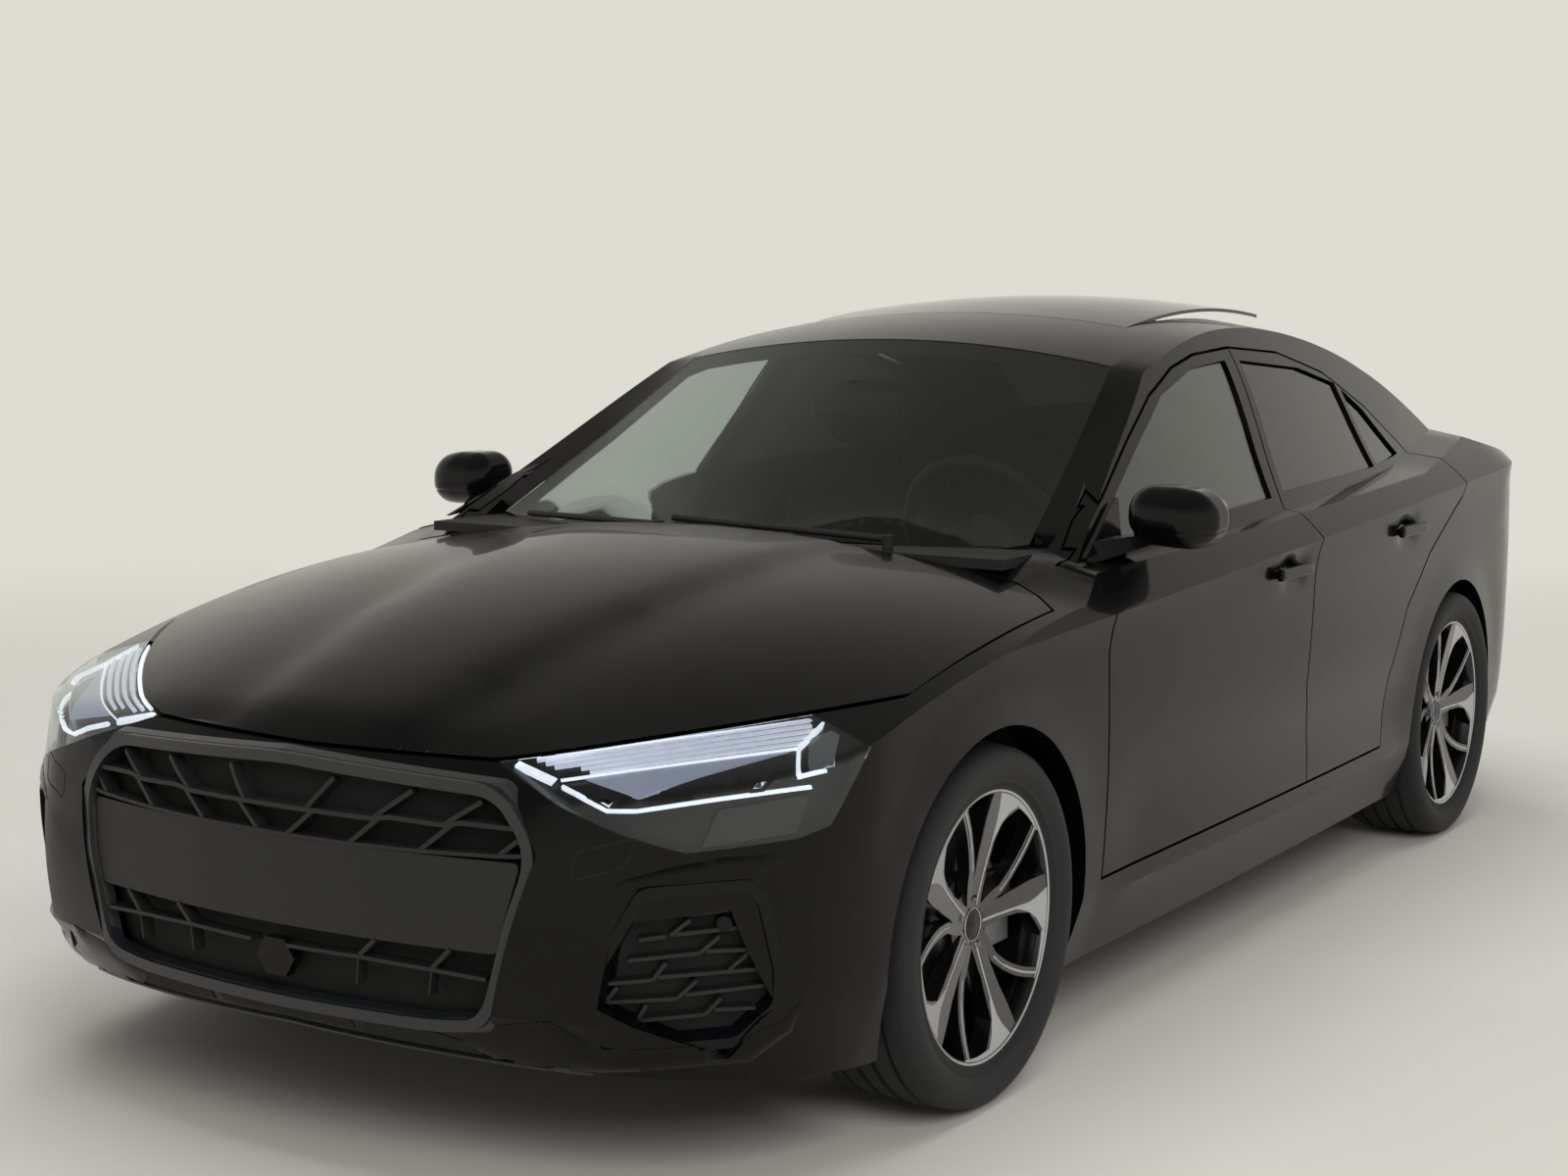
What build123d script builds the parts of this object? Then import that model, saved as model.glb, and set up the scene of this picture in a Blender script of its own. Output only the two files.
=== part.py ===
from build123d import *
import os
from math import cos, radians, sin

# Compact four-door saloon with its glass roof panel tilted open.
# Millimetres. X points forward, Y to the car's left, Z up. The origin is on the ground, on the
# centre plane, below the middle of the body's length.

# Overall sizes
LENGTH = 4500.0
ROOF_Z = 1395.0
WHEELBASE = 2630.0
FRONT_OVERHANG = 880.0
FRONT_TRACK = 1554.0
REAR_TRACK = 1534.0
NOSE_X = LENGTH / 2
TAIL_X = -LENGTH / 2
FRONT_AXLE_X = NOSE_X - FRONT_OVERHANG
REAR_AXLE_X = FRONT_AXLE_X - WHEELBASE
FRONT_WHEEL_Y = FRONT_TRACK / 2
REAR_WHEEL_Y = REAR_TRACK / 2

# Wheels and tyres
TYRE_RADIUS = 323.5
TYRE_WIDTH = 235.0
TYRE_SHOULDER = 24.0
BEAD_RADIUS = 241.3
BEAD_SPAN = 196.0
RIM_WALL = 9.0
RIM_LIP_RADIUS = 251.0
RIM_LIP_WIDTH = 7.0
HUB_RADIUS = 68.0
HUB_OFFSET = 48.0
HUB_THICKNESS = 42.0
SPOKE_COUNT = 5
SPOKE_ROOT_WIDTH = 74.0
SPOKE_TIP_WIDTH = 62.0
SPOKE_DEPTH = 34.0
BOLT_CIRCLE = 112.0
BOLT_COUNT = 5
BOLT_HOLE_RADIUS = 7.5
DISC_RADIUS = 156.0
DISC_THICKNESS = 25.0
DISC_INSET = 42.0
DISC_HAT_RADIUS = 78.0
STUB_RADIUS = 14.0
STUB_LENGTH = 52.0
WHEEL_Z = TYRE_RADIUS
RUNNING_GAP = 0.3
MOVING_GAP = 6.0

# Body shell
BODY_BOTTOM_Z = 165.0
DOOR_THICKNESS = 75.0
FRAME_THICKNESS = 38.0
LID_THICKNESS = 32.0
BUMPER_DEPTH = 90.0
PILLAR_DEPTH = 40.0
GLASS_THICKNESS = 6.0
GLASS_RECESS = 8.0
SCREEN_DROP = 7.0
FRONT_ARCH_RADIUS = 358.0
REAR_ARCH_RADIUS = 355.0
LINER_RADIUS = 368.0
LINER_THICKNESS = 4.0
FRONT_LINER_Y = (470.0, 824.0)
REAR_LINER_Y = (605.0, 806.0)
LINER_BOTTOM_Z = 345.0
DECK_CROWN_RADIUS = 4200.0
ROOF_CROWN_RADIUS = 3000.0
PILLAR_DROP = 65.0
BELT_Z = 965.0
BELT_HALF_WIDTH = 790.0
SIDE_LEAN = 0.56

# Lean of the doors' shut faces, forward for each millimetre inboard of the reference width
SHUT_LEAN = 0.22
SHUT_REFERENCE_Y = 890.0

# Steering axis
STEER_FOOT_Y = FRONT_WHEEL_Y - 32.0
STEER_FOOT_Z = 200.0
STEER_TOP_Y = FRONT_WHEEL_Y - 177.0
STEER_TOP_Z = 800.0
KINGPIN_RADIUS = 9.0

# Lower body, one row for each level
LOWER_LEVELS = [
    # z, rise towards the tail, half width, nose set back, tail set back
    (BODY_BOTTOM_Z, 0.0, 850.0, 95.0, 190.0),
    (300.0, 0.0, 885.0, 6.0, 60.0),
    (450.0, 0.0, 894.0, 0.0, 8.0),
    (610.0, 0.015, 899.0, 24.0, 4.0),
    (745.0, 0.03, 903.0, 66.0, 30.0),
    (867.0, 0.0467, 905.0, 124.0, 60.0),
    (930.0, 0.042, 836.0, 210.0, 92.0),
    (990.0, 0.035, 766.0, 300.0, 118.0),
    (1060.0, 0.03, 690.0, 420.0, 135.0),
    (1160.0, 0.03, 560.0, 560.0, 160.0),
]
TUCK_LEVELS = slice(0, 2)
SIDE_LEVELS = slice(1, 6)
SHOULDER_LEVELS = slice(5, 10)
NOSE_SAG = 88.0
TAIL_SAG = 74.0
END_WIDTH_SHARE = 0.69
CORNER_BULGE = 58.0
FRONT_CORNER_X = FRONT_AXLE_X + 390.0
REAR_CORNER_X = REAR_AXLE_X - 440.0
FRONT_TAPER = 13.0
REAR_TAPER = 34.0
MID_X = 100.0

# Glasshouse, one row for each level
GLASSHOUSE_LEVELS = [
    # z, half width
    (850.0, BELT_HALF_WIDTH + 64.0),
    (BELT_Z, BELT_HALF_WIDTH),
    (1120.0, 703.0),
    (1278.0, 614.0),
    (1345.0, 560.0),
    (1430.0, 455.0),
]
GLASSHOUSE_FRONT_X = FRONT_AXLE_X - 220.0
GLASSHOUSE_REAR_X = REAR_AXLE_X - 440.0
GLASSHOUSE_MID_X = 0.0
GLASSHOUSE_FRONT_TAPER = 70.0
GLASSHOUSE_REAR_TAPER = 80.0

# Centre-line points of the bonnet, belt and boot, (x, z)
BONNET_LIP = (NOSE_X - 85.0, 655.0)
BONNET_NOSE_MID = (NOSE_X - 140.0, 706.0)
BONNET_NOSE = (NOSE_X - 215.0, 745.0)
BONNET_MID = (FRONT_AXLE_X + 190.0, 880.0)
BONNET_REAR = (FRONT_AXLE_X - 370.0, 955.0)
SCUTTLE = (FRONT_AXLE_X - 500.0, 990.0)
REAR_BELT = (REAR_AXLE_X + 160.0, 1060.0)
BOOT_FRONT = (REAR_AXLE_X - 380.0, 1108.0)
BOOT_REAR = (TAIL_X + 112.0, 1022.0)

# Centre-line points of the windscreen, roof and rear window, (x, z)
SCREEN_FOOT = (FRONT_AXLE_X - 220.0, 811.0)
SCREEN_TOP = (FRONT_AXLE_X - 1166.0, 1320.0)
SCREEN_SLOPE = 0.538
ROOF_PEAK = (FRONT_AXLE_X - 1720.0, ROOF_Z)
ROOF_REAR = (REAR_AXLE_X + 260.0, 1345.0)
REAR_WINDOW_MID = (REAR_AXLE_X - 90.0, 1247.0)
REAR_WINDOW_FOOT = (REAR_AXLE_X - 380.0, 1112.0)

# Shut lines
DOOR_FRONT_X = FRONT_AXLE_X - 442.0
B_PILLAR_X = DOOR_FRONT_X - 1070.0
DOOR_BOTTOM_Z = 322.0
DOOR_INNER_Z = 1000.0
PILLAR_FOOT_X = FRONT_AXLE_X - 620.0
PILLAR_FOOT_Y = 756.0
PILLAR_FOOT_Z = 929.0
SCUTTLE_Z = 925.0
SCUTTLE_HALF_WIDTH = 700.0
SCUTTLE_THICKNESS = 20.0
BONNET_SIDE_Y = 850.0
BONNET_REAR_X = BONNET_REAR[0]
BOOT_LID_X = REAR_AXLE_X - 392.0
BOOT_LID_HALF_WIDTH = 556.0
BUMPER_TOP_Z = 700.0
WING_FRONT_X = FRONT_AXLE_X + 285.0

# Hinges. The doors turn about upright axes and are held by curved straps that slide in channels.
FRONT_DOOR_PIVOT = (DOOR_FRONT_X + 40.0, 891.0)
REAR_DOOR_PIVOT = (B_PILLAR_X + 56.0, 897.0)
STRAP_Z = (640.0, 680.0)
STRAP_THICKNESS = 5.0
FRONT_STRAP = (95.0, 222.0, 322.0)
REAR_STRAP = (108.0, 216.0, 306.0)
HINGE_PIN_RADIUS = 4.0
PIN_GAP = 0.1
HINGE_BOSS_RADIUS = 7.5
BONNET_HINGE = (BONNET_REAR_X - 55.0, SCUTTLE_Z - 10.0)
BONNET_HINGE_Y = 330.0
BOOT_HINGE = (BOOT_LID_X + 30.0, 1104.0)
BOOT_HINGE_Y = 66.0
HINGE_ARM_WIDTH = 8.0
HINGE_CHEEK = 6.0
HINGE_SIDE_GAP = 3.0

# Outlines seen from the side, (x, z)
B_PILLAR_LINE = [
    (B_PILLAR_X - 25, DOOR_BOTTOM_Z),
    (B_PILLAR_X - 25, 398),
    (B_PILLAR_X + 26, 552),
    (B_PILLAR_X - 4, 803),
    (B_PILLAR_X - 40, 950),
    (B_PILLAR_X - 116, 1111),
    (B_PILLAR_X - 184, 1300),
]
FRONT_DOOR_SIDE = [
    (DOOR_FRONT_X, DOOR_BOTTOM_Z),
    (DOOR_FRONT_X, 523),
    (DOOR_FRONT_X + 10, 759),
    (DOOR_FRONT_X - 8, 860),
    (DOOR_FRONT_X - 60, 911),
    (DOOR_FRONT_X - 328, 1031),
    (DOOR_FRONT_X - 525, 1129),
    (DOOR_FRONT_X - 698, 1208),
    (DOOR_FRONT_X - 873, 1262),
    (DOOR_FRONT_X - 1028, 1288),
] + B_PILLAR_LINE[::-1]
REAR_DOOR_SIDE = B_PILLAR_LINE + [
    (REAR_AXLE_X + 643, 1283),
    (REAR_AXLE_X + 387, 1228),
    (REAR_AXLE_X + 166, 1134),
    (REAR_AXLE_X + 13, 1038),
    (REAR_AXLE_X - 42, 992),
    (REAR_AXLE_X - 7, 898),
    (REAR_AXLE_X + 254, 775),
    (REAR_AXLE_X + 430, 655),
    (REAR_AXLE_X + 544, 495),
    (REAR_AXLE_X + 570, DOOR_BOTTOM_Z),
]
B_POST_SIDE = [(x + 45, z) for x, z in B_PILLAR_LINE] + [(x - 45, z) for x, z in B_PILLAR_LINE[::-1]]
FRONT_WINDOW_SIDE = [
    (DOOR_FRONT_X - 155, 934),
    (DOOR_FRONT_X - 350, 1018),
    (DOOR_FRONT_X - 530, 1103),
    (DOOR_FRONT_X - 755, 1206),
    (DOOR_FRONT_X - 985, 1260),
    (B_PILLAR_X - 120, 1272),
    (B_PILLAR_X - 72, 1130),
    (B_PILLAR_X - 2, 968),
]
REAR_WINDOW_SIDE = [
    (B_PILLAR_X - 84, 976),
    (B_PILLAR_X - 160, 1130),
    (B_PILLAR_X - 205, 1270),
    (REAR_AXLE_X + 553, 1244),
    (REAR_AXLE_X + 335, 1200),
    (REAR_AXLE_X + 335, 992),
]
QUARTER_WINDOW_SIDE = [
    (REAR_AXLE_X + 307, 992),
    (REAR_AXLE_X + 307, 1186),
    (REAR_AXLE_X + 200, 1128),
    (REAR_AXLE_X + 80, 1010),
]
WING_SIDE = [
    (DOOR_FRONT_X, DOOR_BOTTOM_Z),
    (DOOR_FRONT_X, 523),
    (DOOR_FRONT_X + 10, 759),
    (DOOR_FRONT_X - 8, 860),
    (DOOR_FRONT_X - 8, 1000),
    (FRONT_AXLE_X + 560, 1000),
    (FRONT_AXLE_X + 520, 640),
    (WING_FRONT_X, 575),
    (WING_FRONT_X, DOOR_BOTTOM_Z),
]
FRONT_BUMPER_SIDE = [
    (WING_FRONT_X, 100),
    (WING_FRONT_X, 575),
    (FRONT_AXLE_X + 520, 640),
    (FRONT_AXLE_X + 560, 1000),
    (NOSE_X + 100, 1000),
    (NOSE_X + 100, 100),
]
LAMP_SIDE = [
    (FRONT_AXLE_X + 541, 540),
    (FRONT_AXLE_X + 385, 770),
    (FRONT_AXLE_X + 385, 850),
    (NOSE_X + 100, 850),
    (NOSE_X + 100, 540),
]
REAR_BUMPER_SIDE = [
    (REAR_AXLE_X - 300, 100),
    (REAR_AXLE_X - 300, 630),
    (REAR_AXLE_X - 760, BUMPER_TOP_Z),
    (TAIL_X - 100, BUMPER_TOP_Z),
    (TAIL_X - 100, 100),
]
APPROACH_CUT = [
    (FRONT_AXLE_X + 340, 60),
    (FRONT_AXLE_X + 340, BODY_BOTTOM_Z),
    (NOSE_X - 60, 212),
    (NOSE_X + 100, 212),
    (NOSE_X + 100, 60),
]
DEPARTURE_CUT = [
    (REAR_AXLE_X - 340, 60),
    (REAR_AXLE_X - 340, BODY_BOTTOM_Z),
    (TAIL_X + 60, 222),
    (TAIL_X - 100, 222),
    (TAIL_X - 100, 60),
]

# Outlines seen from the front, (y, z)
BONNET_FRONT = [
    (0, 684),
    (376, 690),
    (860, 771),
    (900, 900),
    (900, 1200),
    (-900, 1200),
    (-900, 900),
    (-860, 771),
    (-376, 690),
]
LAMP_FRONT = [(372, 688), (860, 770), (940, 784), (940, 640), (835, 583), (720, 572), (550, 628)]
GRILLE_FRONT = [(440, 652), (508, 562), (428, 276), (-428, 276), (-508, 562), (-440, 652)]
INTAKE_FRONT = [(640, 465), (772, 482), (812, 317), (748, 240), (612, 330)]
TAIL_LAMP_X = TAIL_X + 265.0
TAIL_LAMP_FRONT = [(400, 812), (380, 905), (620, 950), (900, 962), (900, 850), (700, 822)]

# Outlines seen from above, (x, y)
SCREEN_PLAN = [
    (FRONT_AXLE_X - 441, 0),
    (FRONT_AXLE_X - 460, 250),
    (FRONT_AXLE_X - 510, 480),
    (FRONT_AXLE_X - 572, 656),
    (SCREEN_TOP[0], 549),
    (SCREEN_TOP[0], -549),
    (FRONT_AXLE_X - 572, -656),
    (FRONT_AXLE_X - 510, -480),
    (FRONT_AXLE_X - 460, -250),
]
ROOF_PLAN = [
    (SCREEN_TOP[0], 549),
    (B_PILLAR_X - 150, 562),
    (REAR_AXLE_X + 35, 505),
    (REAR_AXLE_X + 20, 0),
    (REAR_AXLE_X + 35, -505),
    (B_PILLAR_X - 150, -562),
    (SCREEN_TOP[0], -549),
]
BACK_WINDOW_PLAN = [
    (REAR_AXLE_X + 35, 505),
    (REAR_AXLE_X - 335, 560),
    (REAR_AXLE_X - 368, 300),
    (REAR_AXLE_X - 376, 0),
    (REAR_AXLE_X - 368, -300),
    (REAR_AXLE_X - 335, -560),
    (REAR_AXLE_X + 35, -505),
    (REAR_AXLE_X + 20, 0),
]
BONNET_PLAN = [
    (NOSE_X + 50, BONNET_SIDE_Y),
    (BONNET_REAR_X + 90, BONNET_SIDE_Y),
    (BONNET_REAR_X + 35, 790),
    (BONNET_REAR_X, 730),
    (BONNET_REAR_X, -730),
    (BONNET_REAR_X + 35, -790),
    (BONNET_REAR_X + 90, -BONNET_SIDE_Y),
    (NOSE_X + 50, -BONNET_SIDE_Y),
]
SCUTTLE_BACK_X = FRONT_AXLE_X - 610.0

# Grille and side intakes
GRILLE_DEPTH = 46.0
GRILLE_SETBACK = 3.0
NOSE_RADIUS = 2180.0
GRILLE_FRAME = 26.0
GRILLE_BAND = (415.0, 478.0)
GRILLE_ROWS = [
    # bar centre z, bar height
    (600.0, 8.0),
    (560.0, 8.0),
    (520.0, 8.0),
    (375.0, 8.0),
    (335.0, 8.0),
]
GRILLE_RIB_ROWS = [
    # lower z, upper z
    (604.0, 640.0),
    (564.0, 596.0),
    (524.0, 556.0),
    (470.0, 516.0),
    (379.0, 420.0),
    (339.0, 371.0),
    (290.0, 331.0),
]
GRILLE_RIB_PITCH = 56.0
GRILLE_RIB_COUNT = 17
GRILLE_RIB_WIDTH = 7.0
GRILLE_RIB_LEAN = 22.0
INTAKE_BAR_Z = [285.0, 320.0, 355.0, 390.0, 425.0]
INTAKE_BAR_HEIGHT = 8.0
INTAKE_FRAME = 14.0

# Glass roof panel
SUNROOF_FRONT_X = FRONT_AXLE_X - 1500.0
SUNROOF_LENGTH = 800.0
SUNROOF_HALF_WIDTH = 430.0
SUNROOF_TILT = 3.2
SUNROOF_THICKNESS = 8.0
SUNROOF_LEDGE = 25.0
SUNROOF_HINGE_Z = 1378.0

# Cabin and floor
FLOOR_Z = 200.0
FLOOR_PLATE = 25.0
SHEET = 20.0
FIREWALL_X = FRONT_AXLE_X - 430.0
CABIN_HALF_WIDTH = 860.0
TUNNEL_HALF_WIDTH = 115.0
TUNNEL_TOP_Z = 335.0
HEEL_X = REAR_AXLE_X + 560.0
SEAT_PAN_Z = 360.0
BULKHEAD_X = REAR_AXLE_X + 90.0
BOOT_FLOOR_Z = 450.0
LEG_Y = (390.0, 460.0)
LEG_Z = (330.0, 440.0)
REAR_LEG_X = (REAR_AXLE_X - 240.0, BULKHEAD_X)
REAR_LEG_Y = (450.0, 520.0)
REAR_LEG_Z = 310.0
DASH_HALF_WIDTH = 676.0
DASH_BOTTOM_Z = 620.0
BENCH_HALF_WIDTH = 560.0
MIRROR_CENTRE = (FRONT_AXLE_X - 740.0, 905.0, 992.0)
MIRROR_SIZE = (150.0, 168.0, 116.0)
MIRROR_FOOT = (FRONT_AXLE_X - 560.0, 790.0, 895.0)
FRONT_HANDLE = (DOOR_FRONT_X - 914.0, 905.0, 823.0)
REAR_HANDLE = (REAR_AXLE_X + 448.0, 896.0, 849.0)
HANDLE_SIZE = (190.0, 15.0, 26.0)
HANDLE_GAP = 6.0
CRASH_BEAM_X = (NOSE_X - 205.0, NOSE_X - 175.0)
SEAT_Y = 370.0
SEAT_HALF_WIDTH = 230.0
WHEEL_CENTRE = (FRONT_AXLE_X - 930.0, SEAT_Y, 900.0)
STEERING_RADIUS = 183.0
STEERING_RIM = 15.0
STEERING_BOSS = 50.0
COLUMN_TILT = 24.0

# Running gear
SUBFRAME_Z = (165.0, 235.0)
ENGINE_X = (FRONT_AXLE_X - 70.0, FRONT_AXLE_X + 370.0)
ENGINE_Y = (-330.0, 350.0)
ENGINE_Z = (300.0, 770.0)
PIPE_RADIUS = 27.0
PIPE_Z = 245.0
SILENCER_X = REAR_AXLE_X - 560.0
SILENCER_Z = 290.0
REAR_KNUCKLE_DEPTH = 70.0
STRUT_TOP_Z = 672.0
STUB_GAP = 0.3


def outline_face(points, margin=0.0):
    """Flat face from its corners, drawn in or out by a margin."""
    face = make_face(Polyline(*points, close=True))
    return offset(face, amount=margin, kind=Kind.INTERSECTION) if margin else face


def side_cut(points, y_low, y_high, margin=0.0):
    """Prism across the car from a side outline of (x, z) points."""
    plane = Plane((0, y_low, 0), x_dir=(1, 0, 0), z_dir=(0, -1, 0))
    return extrude(plane * outline_face(points, margin), amount=y_low - y_high)


def top_cut(points, z_low, z_high, margin=0.0):
    """Upright prism from a plan outline of (x, y) points."""
    return extrude(Pos(0, 0, z_low) * outline_face(points, margin), amount=z_high - z_low)


def front_cut(points, x_low, x_high, margin=0.0):
    """Prism along the car from a front outline of (y, z) points."""
    plane = Plane((x_low, 0, 0), x_dir=(0, 1, 0), z_dir=(1, 0, 0))
    return extrude(plane * outline_face(points, margin), amount=x_high - x_low)


def box(x0, x1, y0, y1, z0, z1):
    """Upright block between two corners."""
    return Pos((x0 + x1) / 2, (y0 + y1) / 2, (z0 + z1) / 2) * Box(x1 - x0, y1 - y0, z1 - z0)


def across(radius, x, z, y0, y1):
    """Cylinder across the car."""
    return Pos(x, (y0 + y1) / 2, z) * Rot(90, 0, 0) * Cylinder(radius, y1 - y0)


def rod(start, end, radius):
    """Round bar between two points."""
    way = Vector(*end) - Vector(*start)
    return extrude(Plane(Vector(*start), z_dir=way) * Circle(radius), amount=way.length)


def other_side(shape):
    """The same piece on the car's right."""
    return mirror(shape, about=Plane.XZ)


def biggest(shape):
    """The largest solid that a cut leaves."""
    return max(shape.solids(), key=lambda solid: solid.volume)


def pair(shape):
    """A left piece and its mirror image in one node."""
    left = biggest(shape)
    return Compound(children=[left, biggest(other_side(left))])


def bulge_level(start, end, rise):
    """Rounded corner of a plan outline that keeps to the level's sloping plane."""
    a, b = Vector(*start), Vector(*end)
    chord = b - a
    outward = Vector(chord.Y, -chord.X, 0).normalized() * CORNER_BULGE
    middle = (a + b) * 0.5 + outward
    return ThreePointArc(a, Vector(middle.X, middle.Y, middle.Z - rise * outward.X), b)


def plan_face(level, side_inset, end_inset):
    """Plan outline of the lower body at one level, in a plane that rises towards the tail."""
    z, rise, half_width, nose_back, tail_back = level
    w = half_width - side_inset
    nose = NOSE_X - nose_back - end_inset
    tail = TAIL_X + tail_back + end_inset
    end_y = END_WIDTH_SHARE * w

    def at(x, y):
        return (x, y, z + rise * (MID_X - x))

    left = [
        at(nose - NOSE_SAG, end_y),
        at(FRONT_CORNER_X - end_inset, w - FRONT_TAPER),
        at(REAR_CORNER_X + end_inset, w - REAR_TAPER),
        at(tail + TAIL_SAG, end_y),
    ]
    right = [(x, -y, z_at) for x, y, z_at in left]
    edges = [
        ThreePointArc(right[0], at(nose, 0), left[0]),
        bulge_level(left[0], left[1], rise),
        ThreePointArc(left[1], at(MID_X, w), left[2]),
        bulge_level(left[2], left[3], rise),
        ThreePointArc(left[3], at(tail, 0), right[3]),
        bulge_level(right[3], right[2], rise),
        ThreePointArc(right[2], at(MID_X, -w), right[1]),
        bulge_level(right[1], right[0], rise),
    ]
    return Face(Wire(edges))


def glasshouse_face(z, half_width, inset):
    """Plan outline of the glasshouse at one height."""
    w = half_width - inset
    front_left = (GLASSHOUSE_FRONT_X, w - GLASSHOUSE_FRONT_TAPER, z)
    rear_left = (GLASSHOUSE_REAR_X, w - GLASSHOUSE_REAR_TAPER, z)
    front_right = (front_left[0], -front_left[1], z)
    rear_right = (rear_left[0], -rear_left[1], z)
    edges = [
        Line(front_right, front_left),
        ThreePointArc(front_left, (GLASSHOUSE_MID_X, w, z), rear_left),
        Line(rear_left, rear_right),
        ThreePointArc(rear_right, (GLASSHOUSE_MID_X, -w, z), front_right),
    ]
    return Face(Wire(edges))


def crowned(edges, crown_radius, half_angle):
    """Solid under a centre-line profile that falls off to both sides as a crown."""
    plane = Plane((0, 0, 0), x_dir=(1, 0, 0), z_dir=(0, -1, 0))
    face = plane * make_face(edges)
    axis = Axis((0, 0, ROOF_Z - crown_radius), (1, 0, 0))
    return revolve(face.rotate(axis, -half_angle), axis, 2 * half_angle)


def deck(drop):
    """Everything under the bonnet, belt and boot surfaces, lowered by drop."""
    over = 80.0
    front_points = [BONNET_LIP, BONNET_NOSE_MID, BONNET_NOSE, BONNET_MID, BONNET_REAR]
    rear_points = [SCUTTLE, REAR_BELT, BOOT_FRONT, BOOT_REAR]
    lip, nose_mid, nose, middle, rear = [(x, z - drop) for x, z in front_points]
    scuttle, belt, boot_front, boot_rear = [(x, z - drop) for x, z in rear_points]
    front_top = (NOSE_X + over, lip[1] - over)
    rear_top = (TAIL_X - over, boot_rear[1] - 60.0)
    edges = [
        Line((NOSE_X + over, 0), front_top),
        Line(front_top, lip),
        ThreePointArc(lip, nose_mid, nose),
        ThreePointArc(nose, middle, rear),
        Line(rear, scuttle),
        Line(scuttle, belt),
        Line(belt, boot_front),
        Line(boot_front, boot_rear),
        Line(boot_rear, rear_top),
        Line(rear_top, (TAIL_X - over, 0)),
        Line((TAIL_X - over, 0), (NOSE_X + over, 0)),
    ]
    return crowned(edges, DECK_CROWN_RADIUS, 18.0)


def roof_edges(drop):
    """Side profile of everything under the windscreen, roof and rear window."""
    low_z = 700.0
    points = [SCREEN_FOOT, SCREEN_TOP, ROOF_PEAK, ROOF_REAR, REAR_WINDOW_MID, REAR_WINDOW_FOOT]
    foot, top, peak, rear, window_mid, window_foot = [(x, z - drop) for x, z in points]
    back_x = window_foot[0] - 60.0
    back_top = (back_x, window_foot[1] - 30.0)
    return [
        Line((foot[0], low_z), foot),
        Line(foot, top),
        ThreePointArc(top, peak, rear),
        ThreePointArc(rear, window_mid, window_foot),
        Line(window_foot, back_top),
        Line(back_top, (back_x, low_z)),
        Line((back_x, low_z), (foot[0], low_z)),
    ]


def roofline(drop):
    """Crowned windscreen, roof and rear window, level across the pillars beside them."""
    middle = crowned(roof_edges(drop), ROOF_CROWN_RADIUS, 22.0)
    plane = Plane((0, 0, 0), x_dir=(1, 0, 0), z_dir=(0, -1, 0))
    level = extrude(plane * make_face(roof_edges(drop + PILLAR_DROP)), amount=1000, both=True)
    return middle + level


def lower_form(side_inset, end_inset, drop):
    """Body below the glass as one closed form."""
    faces = [plan_face(level, side_inset, end_inset) for level in LOWER_LEVELS]
    tuck = loft(faces[TUCK_LEVELS], ruled=True)
    side = loft(faces[SIDE_LEVELS])
    shoulder = loft(faces[SHOULDER_LEVELS])
    return (tuck + side + shoulder) & deck(drop)


def glasshouse_form(inset, drop):
    """Cabin top as one closed form."""
    return loft([glasshouse_face(z, w, inset) for z, w in GLASSHOUSE_LEVELS]) & roofline(drop)


def arch(axle_x, lip_radius, liner_y):
    """Room for one left wheel: wide behind the lip, and the lip's own opening."""
    inner_y, outer_y = liner_y
    wide = across(LINER_RADIUS + LINER_THICKNESS, axle_x, WHEEL_Z, inner_y - LINER_THICKNESS, outer_y)
    return wide + across(lip_radius, axle_x, WHEEL_Z, outer_y - 1, 1100)


def liner(axle_x, liner_y):
    """Plastic liner over one left wheel."""
    inner_y, outer_y = liner_y
    radius = LINER_RADIUS + LINER_THICKNESS
    outside = across(radius, axle_x, WHEEL_Z, inner_y - LINER_THICKNESS, outer_y)
    shell = outside - across(LINER_RADIUS, axle_x, WHEEL_Z, inner_y, outer_y + 10)
    keep = box(axle_x - radius, axle_x + radius, inner_y - 10, outer_y, LINER_BOTTOM_Z, 900)
    return shell & keep


def steer_point(z):
    """Point of the left steering axis at a height."""
    share = (z - STEER_FOOT_Z) / (STEER_TOP_Z - STEER_FOOT_Z)
    return (FRONT_AXLE_X, STEER_FOOT_Y + share * (STEER_TOP_Y - STEER_FOOT_Y), z)


def shut_cut(points, margin=0.0):
    """Prism of a door's outline with leaning shut faces, through the left side."""
    y_low, y_high = 400.0, 1000.0
    low_shift = SHUT_LEAN * (SHUT_REFERENCE_Y - y_low)
    moved = []
    for x, z in points:
        surface_y = min(SHUT_REFERENCE_Y, BELT_HALF_WIDTH + SIDE_LEAN * (BELT_Z - z))
        moved.append((x - SHUT_LEAN * (SHUT_REFERENCE_Y - surface_y) + low_shift, z))
    plane = Plane((0, y_low, 0), x_dir=(1, 0, 0), z_dir=(0, -1, 0))
    way = Vector(-SHUT_LEAN, 1, 0)
    return extrude(plane * outline_face(moved, margin), amount=way.length * (y_high - y_low), dir=way)


def window_panes(windows, layer):
    """Panes of one left door, cut from the layer of side glass."""
    return [biggest(side_cut(window, 400, 1000) & layer) for window in windows]


def bonnet_room(margin):
    """Space of the bonnet seen from above and in front."""
    plan = top_cut(BONNET_PLAN, 400, 1300, margin)
    return plan & front_cut(BONNET_FRONT, BONNET_REAR_X - 50, NOSE_X + 100, margin)


def boot_room(margin):
    """Space of the boot lid."""
    half_width = BOOT_LID_HALF_WIDTH + margin
    low_z = BUMPER_TOP_Z + MOVING_GAP - margin
    return box(TAIL_X - 100, BOOT_LID_X + margin, -half_width, half_width, low_z, 1300)


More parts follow.
